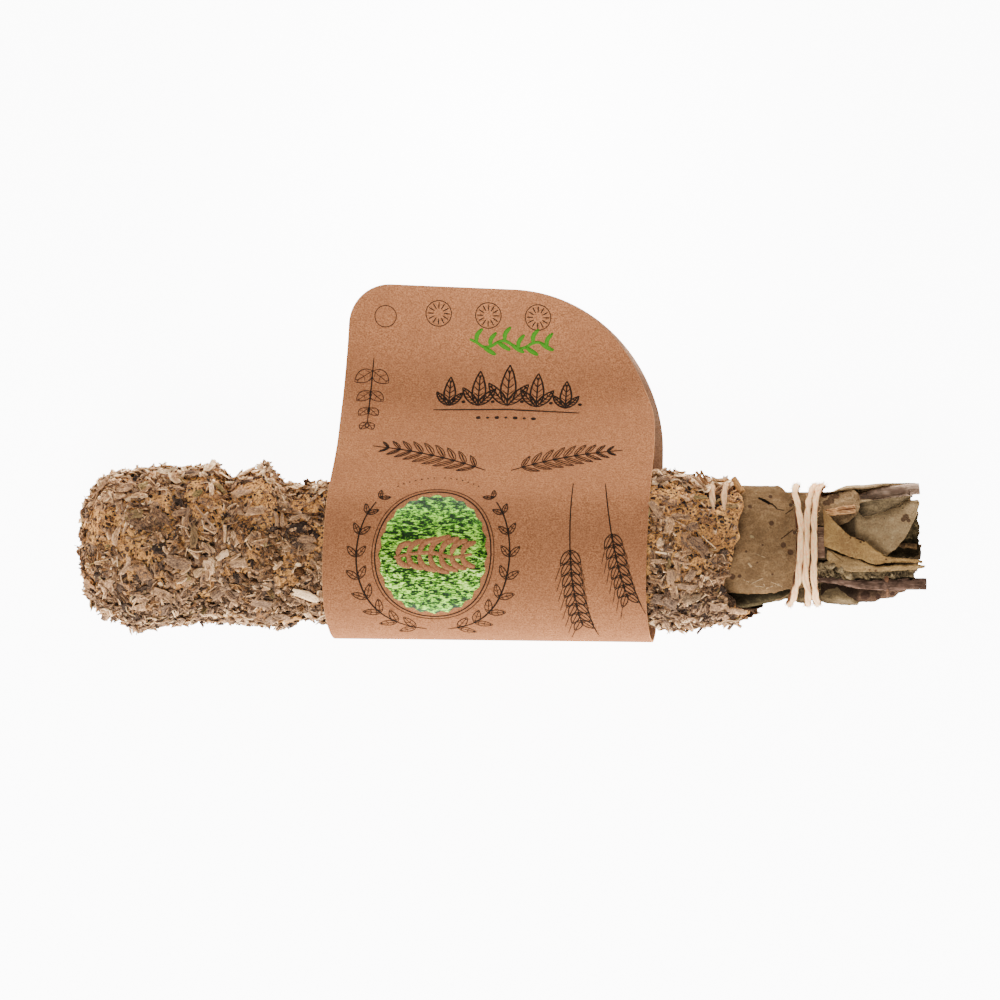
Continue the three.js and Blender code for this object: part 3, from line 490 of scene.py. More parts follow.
folded_finish = leaf_finish(
    "folded_leaf", (124, 98, 62), (100, 78, 50), (144, 118, 80), spotted=0.0,
    spots=[(84.9, -4.9, 0.25), (86.3, -5.1, 0.3)], marks=[(74.8, 0.2, 78.6, -3.0, 0.2, (92, 70, 44))])
leaf("folded_leaf_lower", folded_finish, "leaf_olive",
     [(75.0, -15, -4), (76.2, -22, -6.5), (78.5, -26.5, -10.8), (80.3, -27.5, -12.8), (83.0, -28, -15.5),
      (84.6, -28, -18.8), (86.4, -27, -21), (88.5, -26.5, -20.5), (92, -26, -19.5), (96, -25, -19.5),
      (97.8, -22.5, -20.5)],
     LAYER[1] + 0.3, 15, torn=0.2, cell=0.35, ragged=0.25, lift=lambda x, j: 0.7 * j)
pleat_finish = leaf_finish("pleated_leaf", (116, 96, 66), (40, 32, 22), (178, 153, 114), spotted=0.0)


def pleats(x, j):
    """Sharp folds that run across the leaf, each a little different."""
    fold = 1.35 * x + 3.0 * j + 4.0 * rough(5, x * 0.35, j * 1.6)
    deep = 1.3 - 0.9 * smooth(79, 82, x)
    return smooth(73, 75.5, x) * (deep * abs(math.sin(fold)) ** 0.7 * (0.75 + rough(6, 0.6 * x, 3 * j)) - 0.2)


# painted shade in the pleats' folds, and along the edge that lies next to the lower twig
def pleat_painted_shade(x, j):
    in_folds = 0.95 * smooth(0.35, -0.1, pleats(x, j)) * (1 - 0.5 * smooth(80, 84, x)) * smooth(73.6, 76.4, x)
    return in_folds + 0.7 * smooth(0.2, 0.05, j)


leaf("wrap_leaf_crumpled", pleat_finish, "leaf_olive",
     [(58, -36, -25), (75, -42, -20), (80, -42, -23), (88, -41, -25), (95.4, -39, -25)], LAYER[2] + 0.35, 22,
     cell=0.22, torn=0.8, ragged=0.9, lift=pleats, stain=pleat_painted_shade)

# ------------------------------------------------------------------ twigs, stems and a strip of bark
# Thin sage twigs laid in with the leaves: bark with fine ridges along it, and on one of them a bud. A short
# one is broken, pale and splintered. Next to the string a flat strip of bark lies on the leaves.
def bark_finish(name, base, shade, light):
    def sockets(place):
        ridges = place.stretched(0.12, 1.0, 1.0).noise(0.35, 3.0)
        patches = place.noise(2.2, 3.0).step(0.35, 0.7)
        colour = patches.mix(shade, base)
        colour = (ridges.step(0.5, 0.72) * 0.6).mix(colour, light)
        colour = (ridges.step(0.46, 0.3) * 0.6).mix(colour, shade)
        return matt(colour, 0.9, ridges.bump(0.3))

    return finish_of(name, sockets)


def catmull(points, share):
    """A point on a smooth curve through the points."""
    at = min(share * (len(points) - 1), len(points) - 1.0001)
    k, t = int(at), at - int(at)
    before, start = points[max(k - 1, 0)], points[k]
    stop, after = points[k + 1], points[min(k + 2, len(points) - 1)]
    return 0.5 * (2 * start + (stop - before) * t + (2 * before - 5 * start + 4 * stop - after) * t * t
                  + (3 * start - before - 3 * stop + after) * t ** 3)


def heading(path, share, reach):
    """Which way a path runs at share, as a vector of length 1."""
    return (path(min(1, share + reach)) - path(max(0, share - reach))).normalized()


def rod(path, radius, steps, sides):
    """A solid rod along path(share), whose radius(share, turn) may change round it."""
    up = Vector((0.0, 0.1, 1.0))

    def place(i, j):
        along_it = heading(path, i, 0.002)
        side = along_it.cross(up).normalized()
        turn = 2 * math.pi * j
        return path(i) + (side * math.cos(turn) + side.cross(along_it) * math.sin(turn)) * radius(i, turn)

    bm = sheet(steps, sides, place)
    bmesh.ops.remove_doubles(bm, verts=bm.verts, dist=1e-4)
    bmesh.ops.holes_fill(bm, edges=[edge for edge in bm.edges if edge.is_boundary], sides=0)
    bmesh.ops.recalc_face_normals(bm, faces=bm.faces)
    return bm


KNOT_REACH = 0.006  # how far a knot swells the twig, as a share of its length


def twig(name, finish, slot, at, diameter, knots=(), steps=160, sides=14, ridge=0.07, growth=0.0):
    """A twig through rows of (x, angle, distance from the axis). Its knots are (share, side, swell), and
    growth thickens it towards the cut end."""
    points = [around_axis(*row) for row in at]

    def radius(share, turn):
        swell = sum(
            size * math.exp(-((share - centre) / KNOT_REACH) ** 2)
            * max(0, math.cos(turn - math.radians(side))) ** 2 for centre, side, size in knots)
        bark_ridges = ridge * rough(3, 4 * math.cos(turn), 4 * math.sin(turn), share * 30)
        thicker = growth * smooth(0.72, 0.86, share)
        return diameter / 2 * (1 + bark_ridges + thicker + 0.05 * rough(4, share * 40) + swell)

    bark = rod(lambda share: catmull(points, share), radius, steps, sides)
    return piece(name + "_dressed", bark, finish, slot, [name])


brown_bark = bark_finish("brown_bark", (96, 73, 60), (58, 43, 35), (130, 104, 88))
grey_bark = bark_finish("grey_bark", (178, 148, 125), (118, 95, 79), (222, 192, 163))
pale_split = bark_finish("pale_split_wood", (208, 154, 100), (128, 88, 58), (244, 200, 140))
twig("twig_lower", brown_bark, "bark",
     [(-84, -46, 10.1), (30, -46, 10.2), (62, -47, 10.4), (75, -47, 10.5), (84, -48, 12.2),
      (98.6, -48, 12.3)],
     2.3, knots=[(0.872, 0, 0.6), (0.871, 180, 0.5), (0.868, 100, 0.35)], steps=320, ridge=0.12, growth=0.22)
twig("twig_upper", grey_bark, "bark",
     [(-40, 85, 10.4), (50, 84, 10.3), (66, 83, 9.65), (78.5, 83, 9.6), (84.6, 81, 11.1), (88.4, 79, 12.4),
      (97.6, 77, 13.6)],
     2.7, knots=[(0.95, 60, 0.35)], ridge=0.12)
twig("stem_inner_1", brown_bark, "bark", [(-70, 120, 6.6), (96, 120, 6.6)], 1.8, steps=60, sides=10)
twig("stem_inner_2", grey_bark, "bark", [(-60, -55, 6.8), (97, -55, 6.8)], 1.5, steps=60, sides=10)


def add_mesh(bm, part):
    """Adds one bmesh to another."""
    scratch = bpy.data.meshes.new("part")
    part.to_mesh(scratch)
    part.free()
    bm.from_mesh(scratch)
    bpy.data.meshes.remove(scratch)


# The broken twig is split lengthways into two thick splinters and a few thin ones, and lies on its leaf.
splinters = bmesh.new()
SPLIT_TWIG = [Vector((x, y, z)) for x, y, z in ((74.2, 8.3, 28.4), (78.0, 8.8, 28.95), (81.6, 9.3, 29.75))]
SPLINTERS = [
    # across, up, where it begins and ends along the twig, radius
    (0.62, 0.0, 0.3, 1.0, 0.52), (-0.6, 0.0, 0.34, 1.0, 0.48), (0.0, -0.45, 0.1, 0.98, 0.42),
    (0.15, 0.0, 0.0, 0.42, 0.26), (-0.35, 0.15, 0.05, 0.45, 0.24), (-0.85, -0.05, 0.02, 0.42, 0.26),
    (0.8, -0.05, 0.08, 0.5, 0.24),
]
for n, (across, up, begin, stop, thick) in enumerate(SPLINTERS):
    def splinter(share, begin=begin, stop=stop, across=across, up=up, n=n):
        at = begin + (stop - begin) * share
        apart = across * (0.85 + 0.15 * at)
        return catmull(SPLIT_TWIG, at) + Vector((0, 0.8 * apart + 0.05 * rough(n, at * 5), up - 0.6 * apart))

    add_mesh(splinters, rod(
        splinter, lambda share, turn, thick=thick: thick * (0.15 + 0.85 * smooth(0, 0.25, share)), 12, 6))
piece("twig_broken_dressed", splinters, pale_split, "pale_wood", ["twig_broken"])

# A bud and the scale it came out of, on the lower twig.
bud = bmesh.new()
for path, thick in (
        ([(88.9, -6.1, 27.6), (89.1, -7.0, 28.3), (89.3, -8.0, 28.5)], 0.62),
        ([(89.3, -8.2, 28.3), (89.4, -9.8, 27.6), (89.6, -11.4, 25.6)], 0.42)):
    spots = [Vector(spot) for spot in path]

    def plump(share, turn, thick=thick):
        round_ends = 0.25 + 0.75 * math.sin(math.pi * min(0.97, 0.06 + share))
        return thick * round_ends * (1 + 0.2 * rough(2, share * 6, turn))

    add_mesh(bud, rod(lambda share: catmull(spots, share), plump, 10, 8))
piece("twig_bud", bud, bark_finish("bud_scale", (112, 78, 56), (70, 50, 38), (150, 110, 82)), "bark")
strip_bark = bark_finish("strip_bark", (132, 102, 80), (90, 67, 52), (164, 132, 106))
leaf("bark_strip", strip_bark, "bark", [(70.6, -15, 21), (74.5, -14, 22)], LAYER[1] + 0.1, 20, torn=0.2,
     cell=0.3, ragged=0.3, wrinkle=0.2)

# ------------------------------------------------------------------ cotton string
# Soft undyed cotton string, loosely plied from three yarns and fuzzy. Three turns tie the bundle near its cut
# end, with a knot underneath, and two turns are half buried in the coat.
STRING_DIAMETER = 1.55
END_TIE_RADIUS = 14.0
MIDDLE_TIE_RADIUS = 14.4
TURN_ANGLES = (-180, -85, -55, -30, 20, 45, 60, 90, 180)
END_TURNS = [list(zip(TURN_ANGLES, x_at)) for x_at in (
    # the x of each turn at those angles, once round the bundle
    (70.3, 67.0, 67.6, 68.3, 68.8, 68.2, 67.8, 68.8, 70.3),
    (71.9, 71.4, 70.9, 69.9, 70.1, 70.8, 71.6, 73.3, 71.9),
    (73.5, 73.8, 72.6, 71.8, 71.8, 72.3, 73.1, 75.0, 73.5),
)]
MIDDLE_TURNS = [
    # (angle, x)
    [(-180, 49.2), (0, 48.1), (180, 49.2)],
    [(-180, 50.2), (0, 50.2), (45, 51.0), (90, 52.2), (180, 50.2)],
]


def cotton_sockets(place):
    fibres = place.stretched(1.0, 0.22, 0.22).noise(0.16, 3.0, 0.7)
    soft = place.noise(1.6, 2.0)
    colour = (fibres.step(0.35, 0.65)).mix((255, 182, 128), (255, 226, 170))
    colour = (soft.step(0.55, 0.8) * 0.3).mix(colour, (220, 166, 124))
    # deep: painted shade, darker the nearer the string lies to the bundle, in its grooves and on its inner
    # side; on the middle tie it is also dust
    deep = place.attribute("deep")
    colour = (deep + (fibres - 0.5) * 0.7).step(0.1, 0.95).mix(colour, (122, 84, 58))
    return matt(colour, 0.95, fibres.bump(0.3))


cotton_finish = finish_of("cotton", cotton_sockets)


def from_axis(point):
    """The way out from the bundle's axis at a point, as a vector of length 1."""
    return (point - Vector((point.x, lean(point.x), AXIS_HEIGHT))).normalized()


PLIES, PLY_SIDES = 3, 8
STRING_STEP = 0.55  # between the rings of a ply
FIBRE_HALF, FIBRE_WALL = 0.035, 0.05  # half the width and the thickness of a loose fibre
PLY_TWIST = 19  # the length in which a ply goes once round
PATH_REACH = 0.004  # how far to each side of a place its direction is measured, as a share of the path


def string(bm, path, length, seed, fuzz=9.0):
    """Plies twisted round path(share), and loose fibres that stand off them, fuzz of them on each mm."""
    steps = round(length / STRING_STEP)
    chance = random.Random(seed)
    for ply in range(PLIES):
        def wound(share, ply=ply):
            middle = path(share)
            out = from_axis(middle)
            side = heading(path, share, PATH_REACH).cross(out)
            uneven = 0.15 * rough(seed, share * length / 5)
            turn = 2 * math.pi * (ply / PLIES + share * length / PLY_TWIST + uneven)
            spread = 0.22 * STRING_DIAMETER * (1 + 0.3 * rough(seed + ply, share * length / 3))
            return middle + (side * math.cos(turn) * 1.12 + out * math.sin(turn) * 0.85) * spread

        def thickness(share, turn, ply=ply):
            ends = smooth(0, 0.012, min(share, 1 - share)) * 0.9 + 0.1
            lumps = 1 + 0.14 * rough(seed + ply, share * length / 1.6)
            lumps += 0.07 * rough(ply, turn, share * length)
            return 0.29 * STRING_DIAMETER * lumps * ends

        add_mesh(bm, rod(wound, thickness, steps, PLY_SIDES))
    for n in range(round(length * fuzz)):
        share = chance.random()
        middle = path(share)
        turn = chance.uniform(0, 2 * math.pi)
        out, ahead = from_axis(middle), heading(path, share, PATH_REACH)
        away = out * math.cos(turn) + ahead.cross(out) * math.sin(turn)
        if away.dot(out) < -0.3:
            continue
        start = middle + away * 0.42 * STRING_DIAMETER
        reach = chance.uniform(0.35, 1.1)
        bend = ahead * chance.uniform(-1, 1) + away * chance.uniform(-0.2, 0.5)
        ends = [start + away * reach * 0.35 * t + bend * reach * t * (0.6 + 0.4 * t) for t in (0, 0.5, 1)]

        def fibre(i, j, ends=ends):
            return ends[round(2 * i)] + ahead.cross(ends[2] - ends[0]).normalized() * FIBRE_HALF * (2 * j - 1)

        strip = sheet(2, 1, fibre)
        bmesh.ops.solidify(strip, geom=strip.faces[:], thickness=FIBRE_WALL)
        add_mesh(bm, strip)


def turn_path(turns, radius):
    def path(share):
        degrees = 184 - 368 * share
        x = smooth_along(turns, (degrees + 180) % 360 - 180)
        return around_axis(x, degrees, radius)

    return path


def paint_groove_shade_and_dust(bm, radius, dust=0.0):
    """Paints shade that is darker the nearer the string lies to the bundle, which fills the grooves between
    the yarns and turns and its side towards the bundle, and marks the dust that sticks to the string.
    """
    deep = bm.verts.layers.float.new("deep")
    for vert in bm.verts:
        out = math.hypot(vert.co.y - lean(vert.co.x), vert.co.z - AXIS_HEIGHT) - radius
        vert[deep] = max(smooth(0.5, -0.05, out), dust)


def smooth_along(rows, at):
    """Between (position, value) rows, eased at each."""
    for before, after in zip(rows, rows[1:]):
        if at <= after[0]:
            return before[1] + (after[1] - before[1]) * smooth(before[0], after[0], at)
    return rows[-1][1]


end_tie = bmesh.new()
for n, turns in enumerate(END_TURNS):
    string(end_tie, turn_path(turns, END_TIE_RADIUS), 90, 60 + n)
KNOT_X = 71.9
KNOT = Vector((KNOT_X, 0.0, AXIS_HEIGHT - END_TIE_RADIUS - 0.15))


def knot_path(share):
    """An overhand knot: a trefoil pulled flat."""
    a = 2 * math.pi * share
    flat = Vector((math.sin(a) + 2 * math.sin(2 * a), math.cos(a) - 2 * math.cos(2 * a), 0)) * 0.5
    return KNOT + flat + Vector((0, 0, -0.55 * math.sin(3 * a)))


string(end_tie, knot_path, 20, 70)
TAIL = [(0, 0.8, -0.15), (1.5, 2.2, -0.85), (4, 3.4, -0.85), (7, 4.2, -0.75)]
for side in (-1, 1):
    tail = [Vector((KNOT_X + side * x * 0.7, side * y, KNOT.z + 0.15 + z)) for x, y, z in TAIL]
    string(end_tie, lambda share, tail=tail: catmull(tail, share), 7, 71 + side)
paint_groove_shade_and_dust(end_tie, END_TIE_RADIUS)
piece("string_tie_end_dressed", end_tie, cotton_finish, "cotton", ["string_tie_end"], sharp=180)
middle_tie = bmesh.new()
for n, turns in enumerate(MIDDLE_TURNS):
    string(middle_tie, turn_path(turns, MIDDLE_TIE_RADIUS), 92, 80 + n, fuzz=4.0)
paint_groove_shade_and_dust(middle_tie, MIDDLE_TIE_RADIUS, 0.52)
piece("string_tie_middle_dressed", middle_tie, cotton_finish, "cotton", ["string_tie_middle"], sharp=180)

# ------------------------------------------------------------------ crumb coat: the paste
# A paste of resin and powdered herb, rolled on by hand and dried hard. It is ochre where it lies bare, and
# painted dark between the flakes as painted shade; it is lumpy, rounded at the closed end, and smoother where
# the card presses on it.
COAT_END = -100
END_ROUND = 9  # how far the rounded end reaches along the coat
END_ARC = 21.0  # the length over the rounded end, from its middle to its rim
END_BLUNT = 0.77  # below 1 the end is blunter than a ball
EDGE_FROM, EDGE_REACH = 44, 12  # where the coat starts to follow its ragged edge, and over what length
SLEEVE_LEFT, SLEEVE_RIGHT = -38.0, 31.5  # the stretch that the card hides
PASTE_STEP, HIDDEN_STEP = 0.62, 3.0  # between the paste's rings, in sight and under the card
LIP_RADIUS = 14.6
COAT_SIDES_REACH = [
    # x, how far the paste reaches from the axis on +Y, and on -Y
    (-100, 17.4, 15.8), (-91, 17.4, 15.8), (-87.5, 17.9, 19.0), (-80, 18.6, 17.3), (-75, 18.1, 16.8),
    (-69, 19.4, 16.3), (-65, 15.5, 16.5), (-61, 17.2, 17.2), (-57, 19.3, 17.6), (-53, 14.7, 18.0),
    (-48, 14.2, 15.7), (-42, 14.8, 16.9), (-38, 16.6, 16.8), (34, 17.2, 17.4), (38, 17.3, 18.2),
    (44, 16.5, 18.3), (49, 15.8, 17.0), (54, 15.7, 17.2), (57, 15.4, 15.6), (62, 14.6, 15.9),
]
COAT_EDGE = [
    # where the coat ends, by angle
    (-180, 61.5), (-125, 61.0), (-108, 59.6), (-97, 58.2), (-88, 56.8), (-80, 55.4), (-72, 54.4), (-61, 53.2),
    (-52, 51.8), (-46, 50.6), (-30, 50.2), (-21, 51.9), (-2, 52.8),
    (8, 54.1), (18, 53.7), (30, 54.9), (44, 55.3), (85, 53.2), (120, 56.0), (180, 61.5),
]


def apart(degrees, centre):
    return abs((degrees - centre + 180) % 360 - 180)


def round_bump(degrees, centre, width):
    return math.exp(-(apart(degrees, centre) / width) ** 2)


PITS = [
    # x, angle, half width along, half width round, depth
    (47.2, -33, 2.4, 6, 1.8), (50.3, -36, 1.2, 5, 1.4), (-76.5, 36, 2.4, 8, 0.9), (-61.8, -1, 1.6, 6, 1.0),
    (-82.0, 22, 2.0, 8, 0.8), (-57.0, -22, 2.2, 6, 0.9), (36.2, 18, 1.6, 8, 0.9), (-70.0, -28, 2.0, 6, 0.9),
]


def pit_at(x, degrees):
    """How deep the paste is sunk where lumps of herb left a hollow."""
    return max(depth * math.exp(-((x - at) / wide) ** 2) * round_bump(degrees, centre, tall)
               for at, centre, wide, tall, depth in PITS)


def paste_radius(x, degrees):
    """The paste's distance from the axis, with its lumps but not its grain."""
    under_card = smooth(-42, -38, x) * (1 - smooth(32, 36, x))
    a = math.radians(degrees)
    side = (1 + math.sin(a)) / 2
    lumpy = (1 - 0.8 * under_card) * (1 - 0.6 * smooth(40, 50, x)) * (1 - abs(math.sin(a)) ** 3)
    lumps = lumpy * (0.35 * math.sin(0.21 * x + 2 * a + 1) + 0.25 * math.sin(0.43 * x - 3 * a)
                     + 0.25 * math.sin(5 * a + 0.3 * x))
    bare = along(COAT_SIDES_REACH, x, 1) * side + along(COAT_SIDES_REACH, x, 2) * (1 - side)
    tie_shows = 2 * math.exp(-((x - 49.5) / 5.5) ** 2) * round_bump(degrees, 62, 30)
    return bare + lumps - tie_shows - pit_at(x, degrees) - lean(x) * math.sin(a)


def coat_surface(t, degrees, out=0.0):
    """A point on the paste, t mm along it from the middle of the rounded end, raised by out."""
    if t < END_ARC:
        bend = t / END_ARC * math.pi / 2
        x = COAT_END + END_ROUND * (1 - math.cos(bend)) - out * math.cos(bend) ** 1.5
        share = math.sin(bend) ** END_BLUNT
        return around_axis(x, degrees, share * (paste_radius(COAT_END + END_ROUND, degrees) + out))
    x = COAT_END + END_ROUND + t - END_ARC
    if x > EDGE_FROM:
        edge = along(COAT_EDGE, degrees) + 0.5 * rough(9, degrees * 0.12) + 0.3 * rough(10, degrees * 0.5)
        x = EDGE_FROM + (x - EDGE_FROM) * (edge - EDGE_FROM) / EDGE_REACH
    return around_axis(x, degrees, paste_radius(x, degrees) + out)


# from the middle of the rounded end to the coat's edge
COAT_ARC = END_ARC + EDGE_FROM + EDGE_REACH - (COAT_END + END_ROUND)


def ochre_at(place, degrees):
    """How much the paste lies bare: in patches, and mostly on the upper half."""
    high = smooth(-48, 6, degrees) * smooth(100, 78, degrees)
    right = smooth(34, 37, place.x) * smooth(-80, -26, degrees) * smooth(100, 80, degrees)
    patches = rough(1, *(place * 0.13)) + 0.75 * rough(2, *(place * 0.36)) + 0.4 * rough(3, *(place * 0.9))
    return smooth(0.0, 0.2, patches + 0.5 * high + 0.3 * right - 0.26 - pit_at(place.x, degrees))


def grain_at(place):
    """The paste's grain: its height at a place, from three sizes of lump."""
    scales = ((4, 0.45), (5, 1.2), (6, 2.9))
    coarse, middling, fine = (rough(seed, *(place * scale)) for seed, scale in scales)
    return 0.42 * coarse + 0.26 * middling + 0.16 * fine


def paste_stations():
    """Where the paste's mesh has its rings: close together, but not under the card."""
    stations = []
    t = 0.0
    while t < COAT_ARC:
        stations.append(t)
        x = COAT_END + END_ROUND + t - END_ARC
        t += HIDDEN_STEP if SLEEVE_LEFT + 2 < x < SLEEVE_RIGHT - 4 else PASTE_STEP
    return stations + [COAT_ARC]


def paste_sockets(place):
    bare = place.attribute("bare_paste")
    dust = place.noise(0.5, 4.0, 0.7)
    crumbs = (place.cells(0.9) + (dust - 0.5) * 0.9).step(0.24, 0.5)
    broad = place.noise(4.0, 3.0)
    ochre = broad.step(0.35, 0.7).mix((218, 150, 86), (250, 182, 106))
    fine = place.noise(0.22, 2.0, 0.7)
    # the pale and dark specks are the paste's grain, and also painted highlights on its grains and painted
    # shade in its pits
    ochre = (dust.step(0.53, 0.37) * 0.85).mix(ochre, (104, 77, 58))
    ochre = (dust.step(0.54, 0.66) * 0.75).mix(ochre, (255, 190, 110))
    ochre = (fine.step(0.5, 0.36) * 0.85).mix(ochre, (90, 70, 56))
    ochre = (fine.step(0.56, 0.7) * 0.5).mix(ochre, (255, 198, 124))
    ochre = ((1 - crumbs) * place.noise(2.0, 2.0).step(0.36, 0.5)).mix(ochre, (78, 60, 48))
    # painted shade: where flakes cover the paste it is dark for the shade that falls between them
    dark = dust.step(0.35, 0.7).mix((48, 38, 30), (110, 86, 66))
    colour = (bare + (dust - 0.5) * 0.5).step(0.25, 0.6).mix(dark, ochre)
    return matt(colour, 0.95, (dust + crumbs * 0.6 + fine * 0.5).bump(0.6))


stations = paste_stations()
PASTE_SIDES = 160
PASTE_LOWEST = 0.3
paste = bmesh.new()
bare_paste = paste.verts.layers.float.new("bare_paste")
# x and radius of the rings that close the paste round the bundle, from the ragged edge inwards
BORE_RINGS = [("edge", LIP_RADIUS), ("edge", 13.95), (32.8, 13.95), (32.8, 12.3), (-92, 12.3), (-92, 0.0)]
RINGS = len(stations) - 1 + len(BORE_RINGS)
bmesh.ops.create_grid(paste, x_segments=RINGS, y_segments=PASTE_SIDES, size=0.5)
for vert in paste.verts:
    ring = round((vert.co.x + 0.5) * RINGS)
    degrees = -180 + 360 * (round((vert.co.y + 0.5) * PASTE_SIDES) % PASTE_SIDES) / PASTE_SIDES
    if ring < len(stations):
        smooth_point = coat_surface(stations[ring], degrees)
        bare_here = ochre_at(smooth_point, degrees)
        hidden = smooth(SLEEVE_LEFT - 3, SLEEVE_LEFT + 1, smooth_point.x) * smooth(
            SLEEVE_RIGHT + 2, SLEEVE_RIGHT - 1, smooth_point.x)
        raised = grain_at(smooth_point) * (1 - 0.45 * bare_here) + 0.3 * bare_here - 0.25
        vert.co = coat_surface(stations[ring], degrees, raised * (1 - hidden) - 0.3 * hidden)
        vert[bare_paste] = bare_here
    else:
        x, radius = BORE_RINGS[ring - len(stations)]
        x = coat_surface(COAT_ARC, degrees).x if x == "edge" else x
        vert.co = around_axis(x + (0.25 if radius == LIP_RADIUS else 0), degrees, radius)
    vert.co.z = max(vert.co.z, PASTE_LOWEST)
bmesh.ops.remove_doubles(paste, verts=paste.verts, dist=1e-4)
bmesh.ops.recalc_face_normals(paste, faces=paste.faces)
piece("coat_paste", paste, finish_of("resin_paste", paste_sockets), "herb_crumb", ["crumb_coat"], sharp=70)

# ------------------------------------------------------------------ crumb coat: flakes, crumbs and stem bits
# Crumbled sage pressed into the paste while it was wet: curled shreds of leaf, small crumbs, larger scraps
# that lie flat, and bits of stem. They are fewer where the paste lies bare, and painted paler along both
# sides as a painted highlight, and darker towards the underside as painted shade.
def flake_sockets(place):
    tone = place.attribute("tone")
    tint = place.attribute("tint")
    dust = place.attribute("dust")
    own = place.attribute("own_place", 1)
    grain = own.noise(0.3, 3.0, 0.7)
    veins = own.stretched(0.38, 1.0, 1.0).noise(0.3, 3.0, 0.6)
    tone = tone + (grain - 0.5) * 1.0 + (veins - 0.5) * 0.9
    brown = tone.ramp((0.0, (42, 34, 30)), (0.25, (86, 69, 57)), (0.5, (134, 105, 81)),
                      (0.75, (196, 149, 106)), (1.0, (255, 216, 168)))
    green = tone.ramp((0.0, (42, 36, 22)), (0.5, (114, 98, 60)), (1.0, (184, 160, 108)))
    warm = tone.ramp((0.0, (44, 28, 20)), (0.5, (130, 90, 56)), (1.0, (216, 160, 98)))
    colour = tint.step(0.2, 0.9).mix(brown, green)
    colour = tint.step(-0.2, -0.9).mix(colour, warm)
    dusty = dust * (place.noise(0.9, 3.0, 0.7) + (grain - 0.5) * 0.5).step(0.4, 0.58)
    colour = dusty.mix(colour, grain.step(0.35, 0.65).mix((134, 94, 60), (220, 150, 86)))
    return matt(colour, 0.9, (grain + veins).bump(0.3))


flake_finish = finish_of("sage_flakes", flake_sockets)
FLAKE_WALL = 0.17
LOWEST, TALLEST = 0.1, 39.4  # no flake hangs lower or stands higher than this
CARD_COVERS = 74  # how far the card reaches over the coat from its left edge


def new_bits():
    """An empty mesh, and what its vertices are to carry for the flakes' finish."""
    bits = bmesh.new()
    layers = bits.verts.layers
    return (bits, layers.float.new("tone"), layers.float.new("tint"), layers.float.new("dust"),
            layers.float_vector.new("own_place"))


def card_left(degrees):
    """Where the card's left edge lies, by angle."""
    return along([(-180, -37.8), (-90, -40.4), (-20, -42.6), (40, -42.6), (70, -41.0), (180, -37.8)], degrees)


def spot_on_coat(chance, angles=(-180, 180)):
    """A random place on the coat where the card doesn't cover it: its station, angle and point."""
    while True:
        t, degrees = chance.uniform(0, COAT_ARC - 0.4), chance.uniform(*angles)
        if t < END_ARC and chance.random() > math.sin(t / END_ARC * math.pi / 2) ** END_BLUNT:
            continue
        middle = coat_surface(t, degrees)
        left = card_left(degrees)
        if left + 1.5 < middle.x < left + CARD_COVERS:
            continue
        return t, degrees, middle


def spot_off_paste(chance, share):
    """Such a place, passed over more often the barer the paste is there, and how bare it is."""
    while True:
        t, degrees, middle = spot_on_coat(chance)
        bare_here = ochre_at(middle, degrees)
        if chance.random() > share * bare_here:
            return t, degrees, middle, bare_here


def normal_at(t, degrees):
    t = max(t, 0.3)
    forward = coat_surface(t + 0.4, degrees) - coat_surface(t - 0.2, degrees)
    round_it = coat_surface(t, degrees + 1.5) - coat_surface(t, degrees - 1.5)
    return forward.cross(round_it).normalized() * -1


